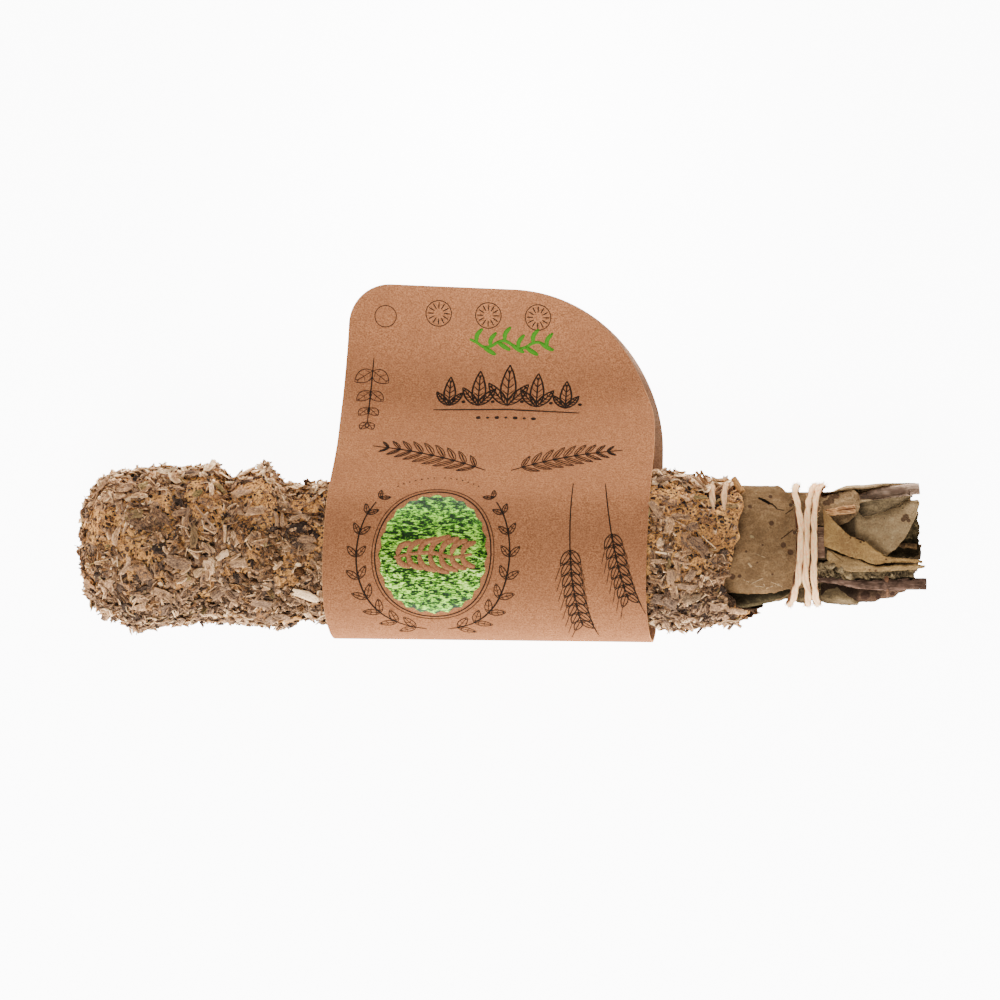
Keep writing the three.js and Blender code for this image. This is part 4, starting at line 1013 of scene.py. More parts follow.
def shred(bits, chance, t, degrees, out, size, curl, tilt, tone, cells, turn=None, wild=0.07, tint=0.0,
          dust=0.0):
    """A scrap of leaf of size (length, width): tapered, curled across and along, tilted, and painted paler
    along its edges and darker in its middle, a painted highlight and shade. turn is from +X towards +Y, seen
    from outside."""
    bm, tones, tints, dusts, places = bits
    length, width = size
    at, normal = coat_surface(t, degrees, out), normal_at(t, degrees)
    outward = normal.to_track_quat("Z", "Y").to_matrix().to_4x4()
    if turn is None:
        spun = Matrix.Rotation(chance.uniform(0, 2 * math.pi), 4, "Z")
    else:
        ahead = Vector((math.cos(math.radians(turn)), math.sin(math.radians(turn)), 0))
        flat = outward.to_3x3().inverted() @ (ahead - normal * ahead.dot(normal))
        spun = Matrix.Rotation(math.atan2(flat.y, flat.x), 4, "Z")
    place = Matrix.Translation(at) @ outward @ spun @ Matrix.Rotation(tilt, 4, chance.choice("XY"))
    large = cells[0] > 3
    own, skew = chance.uniform(0, 90), chance.uniform(-0.6, 0.6) if large else 0.0
    taper, hook = chance.uniform(0.0, 0.55), chance.uniform(-0.45, 0.45)
    across = curl * chance.uniform(0.6, 1.4) * chance.choice((-1, 1, 1))
    lengthways = curl * chance.uniform(-0.5, 0.5)
    for vert in bmesh.ops.create_grid(bm, x_segments=cells[0], y_segments=cells[1], size=0.5)["verts"]:
        rim = max(abs(vert.co.x), abs(vert.co.y)) > 0.49
        torn = 0.07 if rim and large else wild
        u, w = vert.co.x + chance.uniform(-torn, torn), vert.co.y + chance.uniform(-torn, torn)
        if large:
            u, w = u * (1 + 0.35 * rough(own, 4 * w, u > 0)), w * (1 + 0.45 * rough(own + 1, 4 * u, w > 0))
        x = u * length
        y = (w + skew * u) * width * (1 - taper * abs(2 * u) ** 2.2) + hook * u * u * length
        bend, cup = lengthways / length, across / width
        z = (1 - math.cos(bend * x * 2)) / (2 * bend + 1e-6) + (1 - math.cos(cup * y)) / (cup + 1e-6)
        if large:
            z += 0.4 * rough(own + 2, 0.8 * x, 0.8 * y) + 0.15 * rough(own + 3, 2 * x, 2 * y)
        vert.co = place @ Vector((x, math.sin(cup * y) / (cup + 1e-6), z))
        vert.co.z = min(max(vert.co.z, LOWEST), TALLEST)
        # painted highlight on each bit's rim and painted shade in its middle; small bits also grow paler
        # across their width
        if large:
            vert[tones] = tone + (0.03 if rim else -0.06) + 0.15 * rough(own + 4, 0.9 * x, 0.9 * y)
        else:
            vert[tones] = tone + 0.36 * w + (0.12 if rim else -0.34)
        vert[places] = Vector((x, y, own)) * MM
        vert[tints], vert[dusts] = tint, dust


BATCH = 80  # a small mesh takes new bits faster than a large one


def scatter(name, count, seed, make, wall=FLAKE_WALL):
    """Makes count bits on the coat, rounded up to whole batches, as one piece."""
    chance = random.Random(seed)
    whole = new_bits()[0]
    for _ in range(0, count, BATCH):
        part = new_bits()
        for _ in range(BATCH):
            make(part, chance)
        add_mesh(whole, part[0])
    return piece(name, whole, flake_finish, "herb_crumb", wall=wall)


def random_tone(chance, degrees, place):
    """Paler along the top of the flap's side, a painted highlight; darker down the other side and underneath,
    painted shade; and in patches of darker and paler herb.
    """
    rim = 0.13 * smooth(58, 84, degrees) * smooth(112, 92, degrees) - 0.07 * smooth(-10, -50, degrees)
    rim -= 0.07 * smooth(92, 112, degrees) + 0.1 * smooth(-76, -98, degrees)
    patch = 0.16 * rough(11, *(place * 0.22))
    return min(1.0, max(0.06, chance.gauss(0.42 + rim + patch, 0.23)))


def random_tint(chance):
    """0 for most bits, above 0 for the few green ones and below 0 for the few warm ones."""
    draw = chance.random()
    return chance.uniform(0.3, 0.8) if draw < 0.055 else chance.uniform(-0.9, -0.3) if draw > 0.93 else 0.0


def dust_at(degrees, bare_here):
    """How much paste dust lies on the bits: most on bare paste, least along the side away from the flap."""
    return max(bare_here, 0.4 * smooth(-85, 10, degrees))


def curled_shred(bits, chance):
    t, degrees, middle, bare_here = spot_off_paste(chance, 0.97)
    near_card = smooth(card_left(degrees) - 3, card_left(degrees), middle.x) * (middle.x < 0)
    out = chance.uniform(-0.1, 0.75) * (1 - near_card) - 0.1 * bare_here
    length = chance.uniform(1.5, 4.3) * (1 - 0.3 * bare_here)
    shred(bits, chance, t, degrees, out, (length, length * chance.uniform(0.26, 0.52)),
          chance.uniform(0.7, 3.0), chance.gauss(0, 0.3) * (1 - 0.8 * near_card),
          random_tone(chance, degrees, middle), (3, 2), tint=random_tint(chance),
          dust=0.85 * dust_at(degrees, bare_here))


def small_shred(bits, chance):
    t, degrees, middle, bare_here = spot_off_paste(chance, 0.86)
    length = chance.uniform(0.8, 1.9)
    shred(bits, chance, t, degrees, chance.uniform(-0.1, 0.45) + 0.05 * bare_here,
          (length, length * chance.uniform(0.35, 0.8)), chance.uniform(0.3, 1.5), chance.gauss(0, 0.45),
          random_tone(chance, degrees, middle) - 0.15 * bare_here, (2, 1), tint=random_tint(chance),
          dust=0.8 * dust_at(degrees, bare_here))


def rim_shred(bits, chance):
    side = chance.choice((-1, 1))
    t, degrees, middle = spot_on_coat(chance, (62, 125) if side > 0 else (-125, -62))
    length = chance.uniform(1.8, 4.6)
    # pale: a painted highlight along the coat's sides
    pale = 0.62 + 0.1 * smooth(110, 90, degrees) * (side > 0)
    shred(bits, chance, t, degrees, chance.uniform(0.1, 0.9), (length, length * chance.uniform(0.38, 0.68)),
          chance.uniform(1.0, 3.4), chance.gauss(0, 0.22), min(1.0, max(0.2, chance.gauss(pale, 0.18))),
          (3, 2), tint=random_tint(chance) * 0.7)


def crumb(bits, chance):
    bm, tones, tints, dusts, places = bits
    t, degrees, middle, bare_here = spot_off_paste(chance, 0.5)
    size = chance.uniform(0.18, 0.5)
    place = (Matrix.Translation(coat_surface(t, degrees, chance.uniform(-0.05, 0.35) + 0.1 * bare_here))
             @ Matrix.Rotation(chance.uniform(0, 6.28), 4, "Z")
             @ Matrix.Rotation(chance.uniform(0, 6.28), 4, "X")
             @ Matrix.Diagonal((1.5, 1.0, 0.6, 1.0)))
    tone, tint = random_tone(chance, degrees, middle) - 0.12 - 0.12 * bare_here, random_tint(chance)
    for vert in bmesh.ops.create_icosphere(bm, subdivisions=1, radius=size)["verts"]:
        vert[places] = (vert.co + Vector((0, 0, 90 * size))) * MM
        vert.co = place @ (vert.co * chance.uniform(0.6, 1.2))
        vert.co.z = max(vert.co.z, LOWEST)
        vert[tones], vert[tints] = tone, tint


def away_from_card(chance):
    """Such a place well clear of the card, and how bare the paste is there."""
    while True:
        t, degrees, middle, bare_here = spot_off_paste(chance, 0.75)
        if middle.x < card_left(degrees) - 2.5 or middle.x > 36:
            return t, degrees, middle, bare_here


def flat_scrap(bits, chance):
    t, degrees, middle, bare_here = away_from_card(chance)
    length = chance.uniform(2.8, 5.2)
    shred(bits, chance, t, degrees, chance.uniform(0.1, 0.5), (length, length * chance.uniform(0.4, 0.75)),
          chance.uniform(0.3, 1.8), chance.gauss(0, 0.2), random_tone(chance, degrees, middle), (5, 3),
          wild=0.035, tint=random_tint(chance), dust=0.5 * bare_here)


def stick(bits, t, degrees, out, length, thick, turn, tone, tint, tilt=0.0):
    bm, tones, tints, dusts, places = bits
    outward = normal_at(t, degrees).to_track_quat("Z", "Y").to_matrix().to_4x4()
    place = (Matrix.Translation(coat_surface(t, degrees, out)) @ outward @ Matrix.Rotation(turn, 4, "Z")
             @ Matrix.Rotation(math.pi / 2 + tilt, 4, "X"))
    made = bmesh.ops.create_cone(
        bm, cap_ends=True, segments=6, radius1=thick, radius2=thick * 0.7, depth=length)
    for vert in made["verts"]:
        vert[places] = Vector((vert.co.z, vert.co.x, vert.co.y + 9 * length)) * MM
        vert.co = place @ vert.co
        vert.co.z = max(vert.co.z, LOWEST)
        vert[tones], vert[tints] = tone, tint


def stem_bit(bits, chance):
    t, degrees, middle, _ = away_from_card(chance)
    length, thick = chance.uniform(1.8, 5.0), chance.uniform(0.14, 0.3)
    stick(bits, t, degrees, 0.5, length, thick, chance.uniform(0, 6.28),
          min(1.0, random_tone(chance, degrees, middle) + 0.12), random_tint(chance), chance.gauss(0, 0.12))


scatter("coat_shreds_1", 2640, 101, curled_shred)
scatter("coat_shreds_2", 2640, 102, curled_shred)
scatter("coat_small_shreds", 4400, 103, small_shred, wall=0.14)
scatter("coat_rim_shreds", 1360, 107, rim_shred)
scatter("coat_crumbs", 5200, 104, crumb, wall=None)
scatter("coat_flat_scraps", 420, 105, flat_scrap)
scatter("coat_stem_bits", 460, 106, stem_bit, wall=None)

# ------------------------------------------------------------------ crumb coat: the larger pieces
# The scraps and stems that stand out from the rest, pressed in like them: whole leaf tips, pale chips, hooked
# bits, a round seed, and a few stems that stick out of the coat near its edge.
LARGE_SCRAPS = [
    # x, y, length, width, turn, curl, tone, tint, height
    (-95.0, 13.0, 4.7, 4.0, 20, 0.6, 0.42, -0.5, 0.5), (-89.5, 13.4, 4.5, 3.5, 10, 0.5, 0.62, 0, 0.7),
    (-90.2, 11.6, 2.6, 1.5, -20, 0.6, 0.74, 0, 0.9), (-85.1, 14.3, 3.2, 2.2, 60, 0.6, 0.6, 0.7, 0.7),
    (-83.6, 5.8, 9.0, 4.4, -22, 0.5, 0.36, -0.35, 0.35), (-80.4, 7.6, 6.0, 2.2, -40, 0.8, 0.3, -0.4, 0.7),
    (-86.4, 7.4, 4.2, 2.4, 15, 0.7, 0.5, 0.6, 0.8), (-75.4, 8.8, 4.6, 2.6, 15, 2.2, 0.42, 0, 0.9),
    (-74.2, 8.0, 3.0, 1.2, 80, 2.4, 0.5, 0, 1.1), (-72.0, 12.6, 2.3, 1.8, 20, 0.5, 0.46, 0.8, 0.7),
    (-66.8, 13.4, 3.2, 1.4, -30, 0.8, 0.5, 0.7, 0.8), (-72.4, 2.8, 5.0, 1.7, 84, 2.4, 0.46, 0.5, 0.8),
    (-68.7, 13.3, 3.2, 1.2, 75, 0.9, 0.8, 0, 0.9), (-66.0, -1.4, 3.4, 1.6, 32, 0.8, 0.92, 0, 0.9),
    (-71.3, -4.9, 2.8, 2.2, 40, 1.2, 0.72, 0.4, 0.9), (-53.4, 6.3, 3.8, 1.1, 80, 1.6, 0.55, 0, 1.0),
    (-52.2, 5.8, 3.6, 1.0, 85, 1.6, 0.58, 0, 1.0), (-47.8, 7.4, 4.6, 1.8, -25, 1.8, 0.6, 0, 0.8),
    (-49.2, 6.6, 2.8, 1.1, 30, 1.8, 0.62, 0, 0.9), (-46.9, 0.9, 5.0, 4.2, 15, 0.8, 0.48, 0, 0.6),
    (-46.9, -10.0, 6.0, 2.3, -15, 0.6, 1.05, 0, 0.9), (-57.3, -11.9, 5.0, 3.0, 10, 0.5, 0.5, -0.2, 0.7),
    (-53.8, -15.6, 6.0, 3.6, 30, 0.8, 0.5, -0.15, 0.7), (-51.0, -15.7, 4.4, 2.4, 25, 0.6, 0.8, -1.0, 0.8),
    (-76.5, -3.0, 6.2, 3.0, -30, 0.9, 0.5, 0, 0.6), (-88.0, -3.5, 4.8, 1.6, 55, 2.2, 0.66, 0, 0.8),
    (-93.0, -8.0, 4.2, 1.8, 50, 1.4, 0.7, 0, 0.7), (-80.0, -9.8, 5.0, 2.2, -25, 1.4, 0.6, 0, 0.7),
    (-62.5, -3.2, 4.6, 2.6, 10, 1.4, 0.66, 0, 0.8), (-58.5, 8.4, 4.2, 2.4, -10, 1.2, 0.62, 0, 0.7),
    (-84.6, -13.0, 5.2, 2.2, -20, 1.0, 0.74, 0, 0.7), (-66.5, -9.5, 5.0, 2.4, 35, 1.2, 0.5, 0, 0.7),
    (-90.6, 3.0, 4.4, 1.8, 80, 2.0, 0.7, 0.2, 0.7), (-62.0, 12.5, 4.4, 2.6, 5, 1.2, 0.6, 0.2, 0.7),
    (44.6, 0.9, 5.4, 3.0, -38, 0.5, 0.4, 0, 0.8), (43.2, 4.8, 3.0, 1.8, 20, 0.6, 0.42, 0, 0.6),
    (38.4, -6.2, 3.4, 2.4, 100, 0.7, 0.64, 0, 0.9), (42.9, -6.2, 3.2, 2.2, 60, 0.8, 0.54, 0, 0.8),
    (41.8, -8.6, 5.6, 1.6, -10, 1.4, 0.6, 0, 0.8), (34.9, 8.4, 4.5, 1.7, -60, 1.6, 0.56, 0, 0.8),
    (35.3, -2.6, 4.0, 1.2, 5, 1.8, 0.6, 0, 0.8), (36.9, -11.6, 6.0, 3.8, -30, 0.9, 0.36, -0.2, 0.7),
    (43.1, -11.2, 4.8, 3.0, 10, 1.0, 0.44, 0.4, 0.7), (49.2, -12.9, 4.0, 2.8, -15, 0.8, 0.62, 0, 0.8),
    (51.4, -15.2, 2.6, 2.0, 40, 0.8, 0.6, 0, 0.6),
    (40.5, 6.8, 4.2, 1.6, 10, 1.6, 0.52, 0, 0.7), (36.6, 15.6, 4.6, 1.8, 8, 1.2, 0.4, 0, 0.8),
    (50.4, 10.6, 3.2, 1.6, 30, 0.8, 0.42, 0.7, 0.5), (52.5, 9.0, 3.0, 1.5, -35, 0.8, 0.4, 0.6, 0.5),
    (45.3, 11.2, 3.4, 1.4, 40, 0.8, 0.4, 0.7, 0.5), (53.5, -14.2, 4.0, 2.2, -20, 1.2, 0.7, 0, 0.5),
    (47.6, -8.6, 3.6, 1.5, 70, 1.6, 0.74, 0, 0.8),
]
STICKS = [
    # x, y, length, radius, turn, tone, tint
    (-69.9, 7.2, 8.2, 0.34, -46, 0.56, 0), (-65.5, 3.3, 4.2, 0.45, 88, 0.8, -0.3),
    (35.9, -0.8, 2.6, 0.28, -10, 1.0, 0), (-88.2, 5.6, 4.6, 0.4, 78, 0.74, 0),
]


def on_top(x, y):
    """The station and the angle of the coat's point that shows at x and y from above."""
    if x < COAT_END + END_ROUND:
        t = END_ARC * math.acos(1 - max(x - COAT_END, 0.4) / END_ROUND) / (math.pi / 2)
        radius = math.sin(t / END_ARC * math.pi / 2) ** END_BLUNT * paste_radius(COAT_END + END_ROUND, 0)
    else:
        t, radius = x - COAT_END - END_ROUND + END_ARC, paste_radius(x, 60 if y > 0 else -60)
        if x > EDGE_FROM:
            edge = along(COAT_EDGE, math.degrees(math.asin(min(max(y / 17, -1), 1))))
            unmoved = EDGE_FROM + (x - EDGE_FROM) * EDGE_REACH / (edge - EDGE_FROM)
            t = unmoved - COAT_END - END_ROUND + END_ARC
    return t, math.degrees(math.asin(min(max((y - lean(x)) / radius, -0.98), 0.98)))


chance = random.Random(44)
large = new_bits()
for x, y, length, width, turn, curl, tone, tint, height in LARGE_SCRAPS:
    t, degrees = on_top(x, y)
    cells = (max(5, round(length * 1.6)), max(4, round(width * 1.8)))
    shred(large, chance, t, degrees, height + 0.2, (length, width), curl, chance.gauss(0, 0.06), tone, cells,
          turn=turn, wild=0.03, tint=tint, dust=0.15 * (y > 0))
piece("coat_large_scraps", large[0], flake_finish, "herb_crumb", wall=0.24)
sticks = new_bits()
for x, y, length, thick, turn, tone, tint in STICKS:
    t, degrees = on_top(x, y)
    outward = normal_at(t, degrees)
    ahead = Vector((math.cos(math.radians(turn)), math.sin(math.radians(turn)), 0))
    flat = outward.to_track_quat("Z", "Y").to_matrix().inverted() @ ahead
    stick(sticks, t, degrees, 0.8, length, thick, math.atan2(flat.y, flat.x) - math.pi / 2, tone, tint)
LOOSE_STEMS = [
    # from (x, y, z), to (x, y, z), radius, tone, tint
    ((47.1, 15.0, 25.0), (44.6, 18.1, 25.2), 0.4, 0.46, -0.7),
    ((46.6, 14.6, 25.6), (44.0, 16.9, 25.8), 0.34, 0.56, -0.4),
    ((47.4, 15.2, 24.4), (45.8, 18.4, 24.4), 0.32, 0.4, -0.8),
    ((55.4, 13.2, 25.6), (53.5, 16.6, 24.2), 0.85, 0.66, -1.0),
]
for start, stop, thick, tone, tint in LOOSE_STEMS:
    start, stop = Vector(start), Vector(stop)
    way = stop - start
    turned = Matrix.Translation((start + stop) / 2) @ way.to_track_quat("Z", "Y").to_matrix().to_4x4()
    made = bmesh.ops.create_cone(
        sticks[0], cap_ends=True, segments=8, radius1=thick, radius2=thick * 0.8, depth=way.length)
    for vert in made["verts"]:
        vert[sticks[4]] = Vector((vert.co.z, vert.co.x, vert.co.y)) * MM
        vert.co = turned @ vert.co
        vert[sticks[1]], vert[sticks[2]] = tone, tint
seed_at = on_top(-48.3, -5.3)
seed_place = Matrix.Translation(coat_surface(*seed_at, 0.7)) @ Matrix.Diagonal((1.15, 1.0, 0.8, 1.0))
for vert in bmesh.ops.create_icosphere(sticks[0], subdivisions=3, radius=1.1)["verts"]:
    vert[sticks[4]] = vert.co * MM
    vert.co = seed_place @ vert.co
    vert[sticks[1]], vert[sticks[2]] = 0.12, -1.0
piece("coat_sticks_and_seed", sticks[0], flake_finish, "herb_crumb")

# ------------------------------------------------------------------ folded kraft card sleeve
# One strip of half-millimetre kraft card, folded round the bundle from the front and back under it, with its
# two flaps glued together beyond the bundle. The corners on one side are rounder, and the inside is
# painted paler: painted light on the back flap, which lies in the front flap's shade.
CARD_WIDTH = 75.2
CARD_WALL = 0.5
FLAP_TOP = 64.0
BACK_FLAP_Z, FRONT_FLAP_Z = 0.25, 0.85  # the middle of each flap's thickness
CARD_RISE = math.radians(50)  # the slope where the front flap climbs onto the bundle
CARD_RADIUS = 18.35
CARD_BULGE = 22.1  # how far the bend stands out on the bundle's other side
FLAT_FROM = 4.0
BEND = 8.0  # how far the bend between flap and slope reaches each way
SMALL_CORNER, LARGE_CORNER = (10, 10), (36, 38)  # how far each rounded corner reaches across and along
FLAP_SLANT = math.radians(2.4)  # the end of each flap isn't quite square
CARD_ROWS, CARD_COLUMNS = 200, 36
CARD_CENTRES = [
    # share of the card's length, x of its middle there
    (0, -0.1), (0.06, -0.5), (0.11, -1.4), (0.16, -2.0), (0.234, -2.6), (0.26, -3.2), (0.32, -4.3),
    (0.38, -5.1), (0.43, -5.3), (0.48, -4.4), (0.54, -2.7), (0.6, -1.2), (0.69, -0.2), (0.8, 0.4), (1, 0.4),
]


def card_profile():
    """The card's middle line in the Y-Z plane, as close points from the front flap's edge to the back's."""
    touch = (CARD_RADIUS * math.sin(CARD_RISE), AXIS_HEIGHT + CARD_RADIUS * math.cos(CARD_RISE))
    corner = touch[0] + (touch[1] - FRONT_FLAP_Z) / math.tan(CARD_RISE)
    bend = (
        (corner + BEND, FRONT_FLAP_Z), (corner, FRONT_FLAP_Z),
        (corner - BEND * math.cos(CARD_RISE), FRONT_FLAP_Z + BEND * math.sin(CARD_RISE)))
    line = [(FLAP_TOP, FRONT_FLAP_Z)]
    for step in range(41):
        t = step / 40
        line.append(tuple(a * (1 - t) ** 2 + 2 * b * t * (1 - t) + c * t * t for a, b, c in zip(*bend)))
    for degrees in range(40, 270):
        a = math.radians(degrees)
        middle = -FLAT_FROM * (degrees > 180)
        across = CARD_RADIUS if degrees < 90 else CARD_BULGE + middle
        line.append((middle + across * math.cos(a), AXIS_HEIGHT + CARD_RADIUS * math.sin(a)))
    line += [(-FLAT_FROM, BACK_FLAP_Z), (FLAP_TOP, BACK_FLAP_Z)]
    return line


CARD_LINE = card_profile()
CARD_STATIONS = [0.0]
for start, end in zip(CARD_LINE, CARD_LINE[1:]):
    CARD_STATIONS.append(CARD_STATIONS[-1] + math.dist(start, end))
CARD_LENGTH = CARD_STATIONS[-1]


def on_line(s):
    n = min(max(bisect.bisect_right(CARD_STATIONS, s) - 1, 0), len(CARD_LINE) - 2)
    t = (s - CARD_STATIONS[n]) / (CARD_STATIONS[n + 1] - CARD_STATIONS[n])
    return Vector(CARD_LINE[n]).lerp(Vector(CARD_LINE[n + 1]), min(max(t, 0.0), 1.0))


def on_card(across, s, height=0.0):
    """A point by its place across the card from its middle, its place along the card from the front flap's
    edge, and its height over the middle of the card's thickness."""
    from_end = min(s, CARD_LENGTH - s)
    slide = (across + CARD_WIDTH / 2) * math.tan(FLAP_SLANT) * (1 - smooth(20, 70, from_end))
    at = min(max(s + (slide if s < CARD_LENGTH / 2 else -slide), 0.0), CARD_LENGTH)
    tangent = (on_line(at + 0.6) - on_line(at - 0.6)).normalized()
    point = on_line(at)
    y = point.x + tangent.y * height
    side = across / CARD_WIDTH + 0.5
    y *= 1 - 0.04 * (1 - side) * smooth(10, 22, -y)
    share = s / CARD_LENGTH
    middle = sum(along(CARD_CENTRES, share + shift) for shift in (-0.02, 0, 0.02)) / 3
    return Vector((middle + across, y, point.y - tangent.x * height))


def corner_inset(across, reach, distance):
    """How far a rounded corner stands back at this distance from the flap's end."""
    return across * (1 - math.sqrt(1 - ((reach - distance) / reach) ** 2)) if distance < reach else 0.0


def card_point(i, j):
    s = CARD_LENGTH * (1 - math.cos(math.pi * i)) / 2  # the rows lie closer together at the rounded corners
    from_end = min(s, CARD_LENGTH - s)
    left = -CARD_WIDTH / 2 + corner_inset(*SMALL_CORNER, from_end)
    right = CARD_WIDTH / 2 - corner_inset(*LARGE_CORNER, from_end)
    return on_card(left + (right - left) * (1 - math.cos(math.pi * j)) / 2, s)


def kraft_sockets(place, shade=(108, 68, 42), base=(165, 110, 74)):
    fibres = place.noise(0.34, 3.0, 0.75)
    strands = place.stretched(0.25, 1.0, 1.0).noise(0.35, 2.0, 0.6)
    clouds = place.noise(7.0, 3.0)
    edge = place.attribute("edge")
    colour = (fibres * 0.85 + strands * 0.15).step(0.34, 0.66).mix(shade, base)
    # partly painted highlight: the cut edge is paler, both for its own exposed fibres and for the light that
    # it catches
    colour = (edge.step(0.35, 1.0) * 0.9).mix(colour, (216, 150, 98))
    colour = (clouds.step(0.35, 0.7) * 0.35).mix(colour, (128, 83, 56))
    speck = place.cells(2.6).step(0.055, 0.03) * place.noise(5.0, 1.0).step(0.5, 0.6)
    colour = (speck * 0.6).mix(colour, (76, 50, 34))
    return matt(colour, 0.9, (fibres + strands * 0.6).bump(0.06))


kraft_finish = finish_of("kraft_card", kraft_sockets)
# painted light: the inside is paler to lighten the back flap where the front flap shades it
inside_painted_light_finish = finish_of(
    "kraft_inside", lambda place: kraft_sockets(place, (140, 110, 90), (176, 142, 116)))
card = sheet(CARD_ROWS, CARD_COLUMNS, card_point)
edge_layer = card.verts.layers.float.new("edge")
for vert in card.verts:
    vert[edge_layer] = float(vert.is_boundary)
sleeve = piece("sleeve_card", card, kraft_finish, "kraft_card", ["kraft_sleeve"], wall=CARD_WALL)
sleeve.data.materials.append(inside_painted_light_finish)
sleeve.modifiers["Wall"].material_offset = 1

# ------------------------------------------------------------------ the print on the card
# Thin ink, dark but for a green garland. On the flap: rosettes, the garland, a row of upright leaves over a
# line, two fern fronds and a branch. On the front: a wreath round the seal, and two hanging ears of grain.
INK_WALL = 0.04
INK_HEIGHT = CARD_WALL / 2 + 0.03
INK_WIDTH = 0.3
PRINT_MIDDLE = 2.0  # across the card
QUARTERS = (0, 0.25, 0.5, 0.75, 1)
HANG_HOLE = (-28.8, 7.8)  # scored, but not punched out
HANG_HOLE_RADIUS = 2.6
SEAL = (-12.0, 80.0)
SEAL_ACROSS, SEAL_ALONG = 12.4, 14.6
WREATH_OUT = 5.4  # from the seal's rim to the wreath's stem
ink = bmesh.new()


def ink_line(points, width=INK_WIDTH, bm=None, taper=0.45, height=INK_HEIGHT):
    """A printed line through points (across, along), thinner at its ends."""
    spots = [Vector((*spot, 0.0)) for spot in points]
    length = sum((b - a).length for a, b in zip(spots, spots[1:]))
    steps = max(2, round(length / 0.7))

    def place(i, j):
        here = catmull(spots, i)
        ahead = catmull(spots, min(i + 0.01, 1.0)) - catmull(spots, max(i - 0.01, 0.0))
        sideways = Vector((-ahead.y, ahead.x, 0.0)).normalized()
        wide = width * (1 - taper + taper * math.sqrt(math.sin(math.pi * min(max(i, 0.02), 0.98))))
        spot = here + sideways * (j - 0.5) * wide
        return on_card(spot.x, spot.y, height)

    add_mesh(ink if bm is None else bm, sheet(steps, 1, place))


def ink_dot(across, s, radius):
    part = bmesh.new()
    bmesh.ops.create_circle(part, cap_ends=True, segments=10, radius=radius)
    for vert in part.verts:
        vert.co = on_card(across + vert.co.x, s - vert.co.y, INK_HEIGHT)
    add_mesh(ink, part)


def polar(at, angle, length):
    """The place length away from at; 0 degrees is to the right and 90 up the card."""
    a = math.radians(angle)
    return at[0] + length * math.cos(a), at[1] - length * math.sin(a)


def stalk_of(base, angle, length, bend):
    """The place at each share of a stalk that turns by bend degrees on its way."""
    return lambda share: polar(base, angle + bend * share, length * share)


def ink_leaf(base, angle, length, width, veins, bend=0.0, line=0.22):
    """An outlined leaf with a midrib and slanting veins."""
    midrib, half = stalk_of(base, angle, length, bend), width / 2

    def at(share, side):
        return polar(midrib(share), angle + bend * share + 90, side)

    for side in (-1, 1):
        shape = ((0, 0), (0.2, 0.75), (0.5, 1), (0.8, 0.6), (1, 0))
        ink_line([at(share, side * half * wide) for share, wide in shape], line)
        for n in range(veins):
            share = 0.15 + 0.65 * n / max(1, veins - 1)
            reach = half * 0.78 * math.sin(math.pi * min(1.0, share + 0.12)) ** 0.7
            ink_line([at(share, 0), at(share + 0.12, side * reach)], line * 0.6)
    ink_line([at(0, 0), at(0.5, 0), at(0.9, 0)], line * 0.8)


def frond(base, angle, length, pairs, leaf_length, bend):
    """A fern frond: a curved rib with pairs of narrow leaves that get shorter towards the tip."""
    rib = stalk_of(base, angle, length, bend)
    ink_line([rib(share) for share in QUARTERS], INK_WIDTH * 1.3)
    for n in range(pairs):
        share = 0.1 + 0.86 * n / pairs
        foot = rib(share)
        size = leaf_length * math.sin(math.pi * (0.22 + 0.74 * share)) ** 0.8
        for side in (-1, 1):
            way = angle + 2 * bend * share + side * 52
            ink_leaf(foot, way, size, size * 0.24, veins=0, bend=-side * 8)
            vein = [polar(foot, way, size * 0.15), polar(foot, way - side * 4, size * 0.7)]
            ink_line(vein, INK_WIDTH * 1.1)


def branch(base, angle, length, leaves, size, bend):
    """A branch with broad leaves in pairs, each with a few veins."""
    rib = stalk_of(base, angle, length, bend)
    ink_line([rib(share) for share in QUARTERS], INK_WIDTH * 1.1)
    for n in range(leaves):
        share = 0.16 + 0.84 * n / (leaves - 1)
        foot = rib(share)
        reach = size * (1.1 - 0.45 * share)
        for side in (-1, 1):
            way = angle + 2 * bend * share + side * (58 - 30 * share)
            ink_leaf(foot, way, reach, reach * 0.66, veins=3)


def grain_ear(base, angle, length, pairs, size, bend):
    """An ear of grain: a stalk with plump seeds and long bristles."""
    stalk = stalk_of(base, angle, length, bend)
    ink_line([stalk(share) for share in (0, 0.3, 0.6, 1)])
    for n in range(pairs):
        share = 0.5 + 0.5 * n / (pairs - 1)
        foot = stalk(share)
        for side in (-1, 1):
            way = angle + 2 * bend * share + side * 34
            ink_leaf(foot, way, size, size * 0.42, veins=2, line=0.26)
            tip = polar(foot, way, size)
            ink_line([tip, polar(tip, angle + side * 16, size * 0.9)], 0.16)


frond((-1.5, 56), 152, 29, 9, 5.6, 10)
frond((4.5, 56), 28, 27, 9, 5.6, -10)
grain_ear((19.5, 61), -92, 36, 8, 4.2, 6)
grain_ear((27, 61), -84, 29, 7, 3.8, 6)
branch((-31, 18), -90, 20, 4, 5.0, 0)
ink_line([polar(HANG_HOLE, turn, HANG_HOLE_RADIUS) for turn in range(0, 361, 20)], 0.2, taper=0.0)


def seal_rim(degrees, grow):
    """A place on an oval that runs round the seal, outside its rim by grow."""
    a = math.radians(degrees)
    return SEAL[0] + (SEAL_ACROSS + grow) * math.cos(a), SEAL[1] - (SEAL_ALONG + grow * 1.15) * math.sin(a)


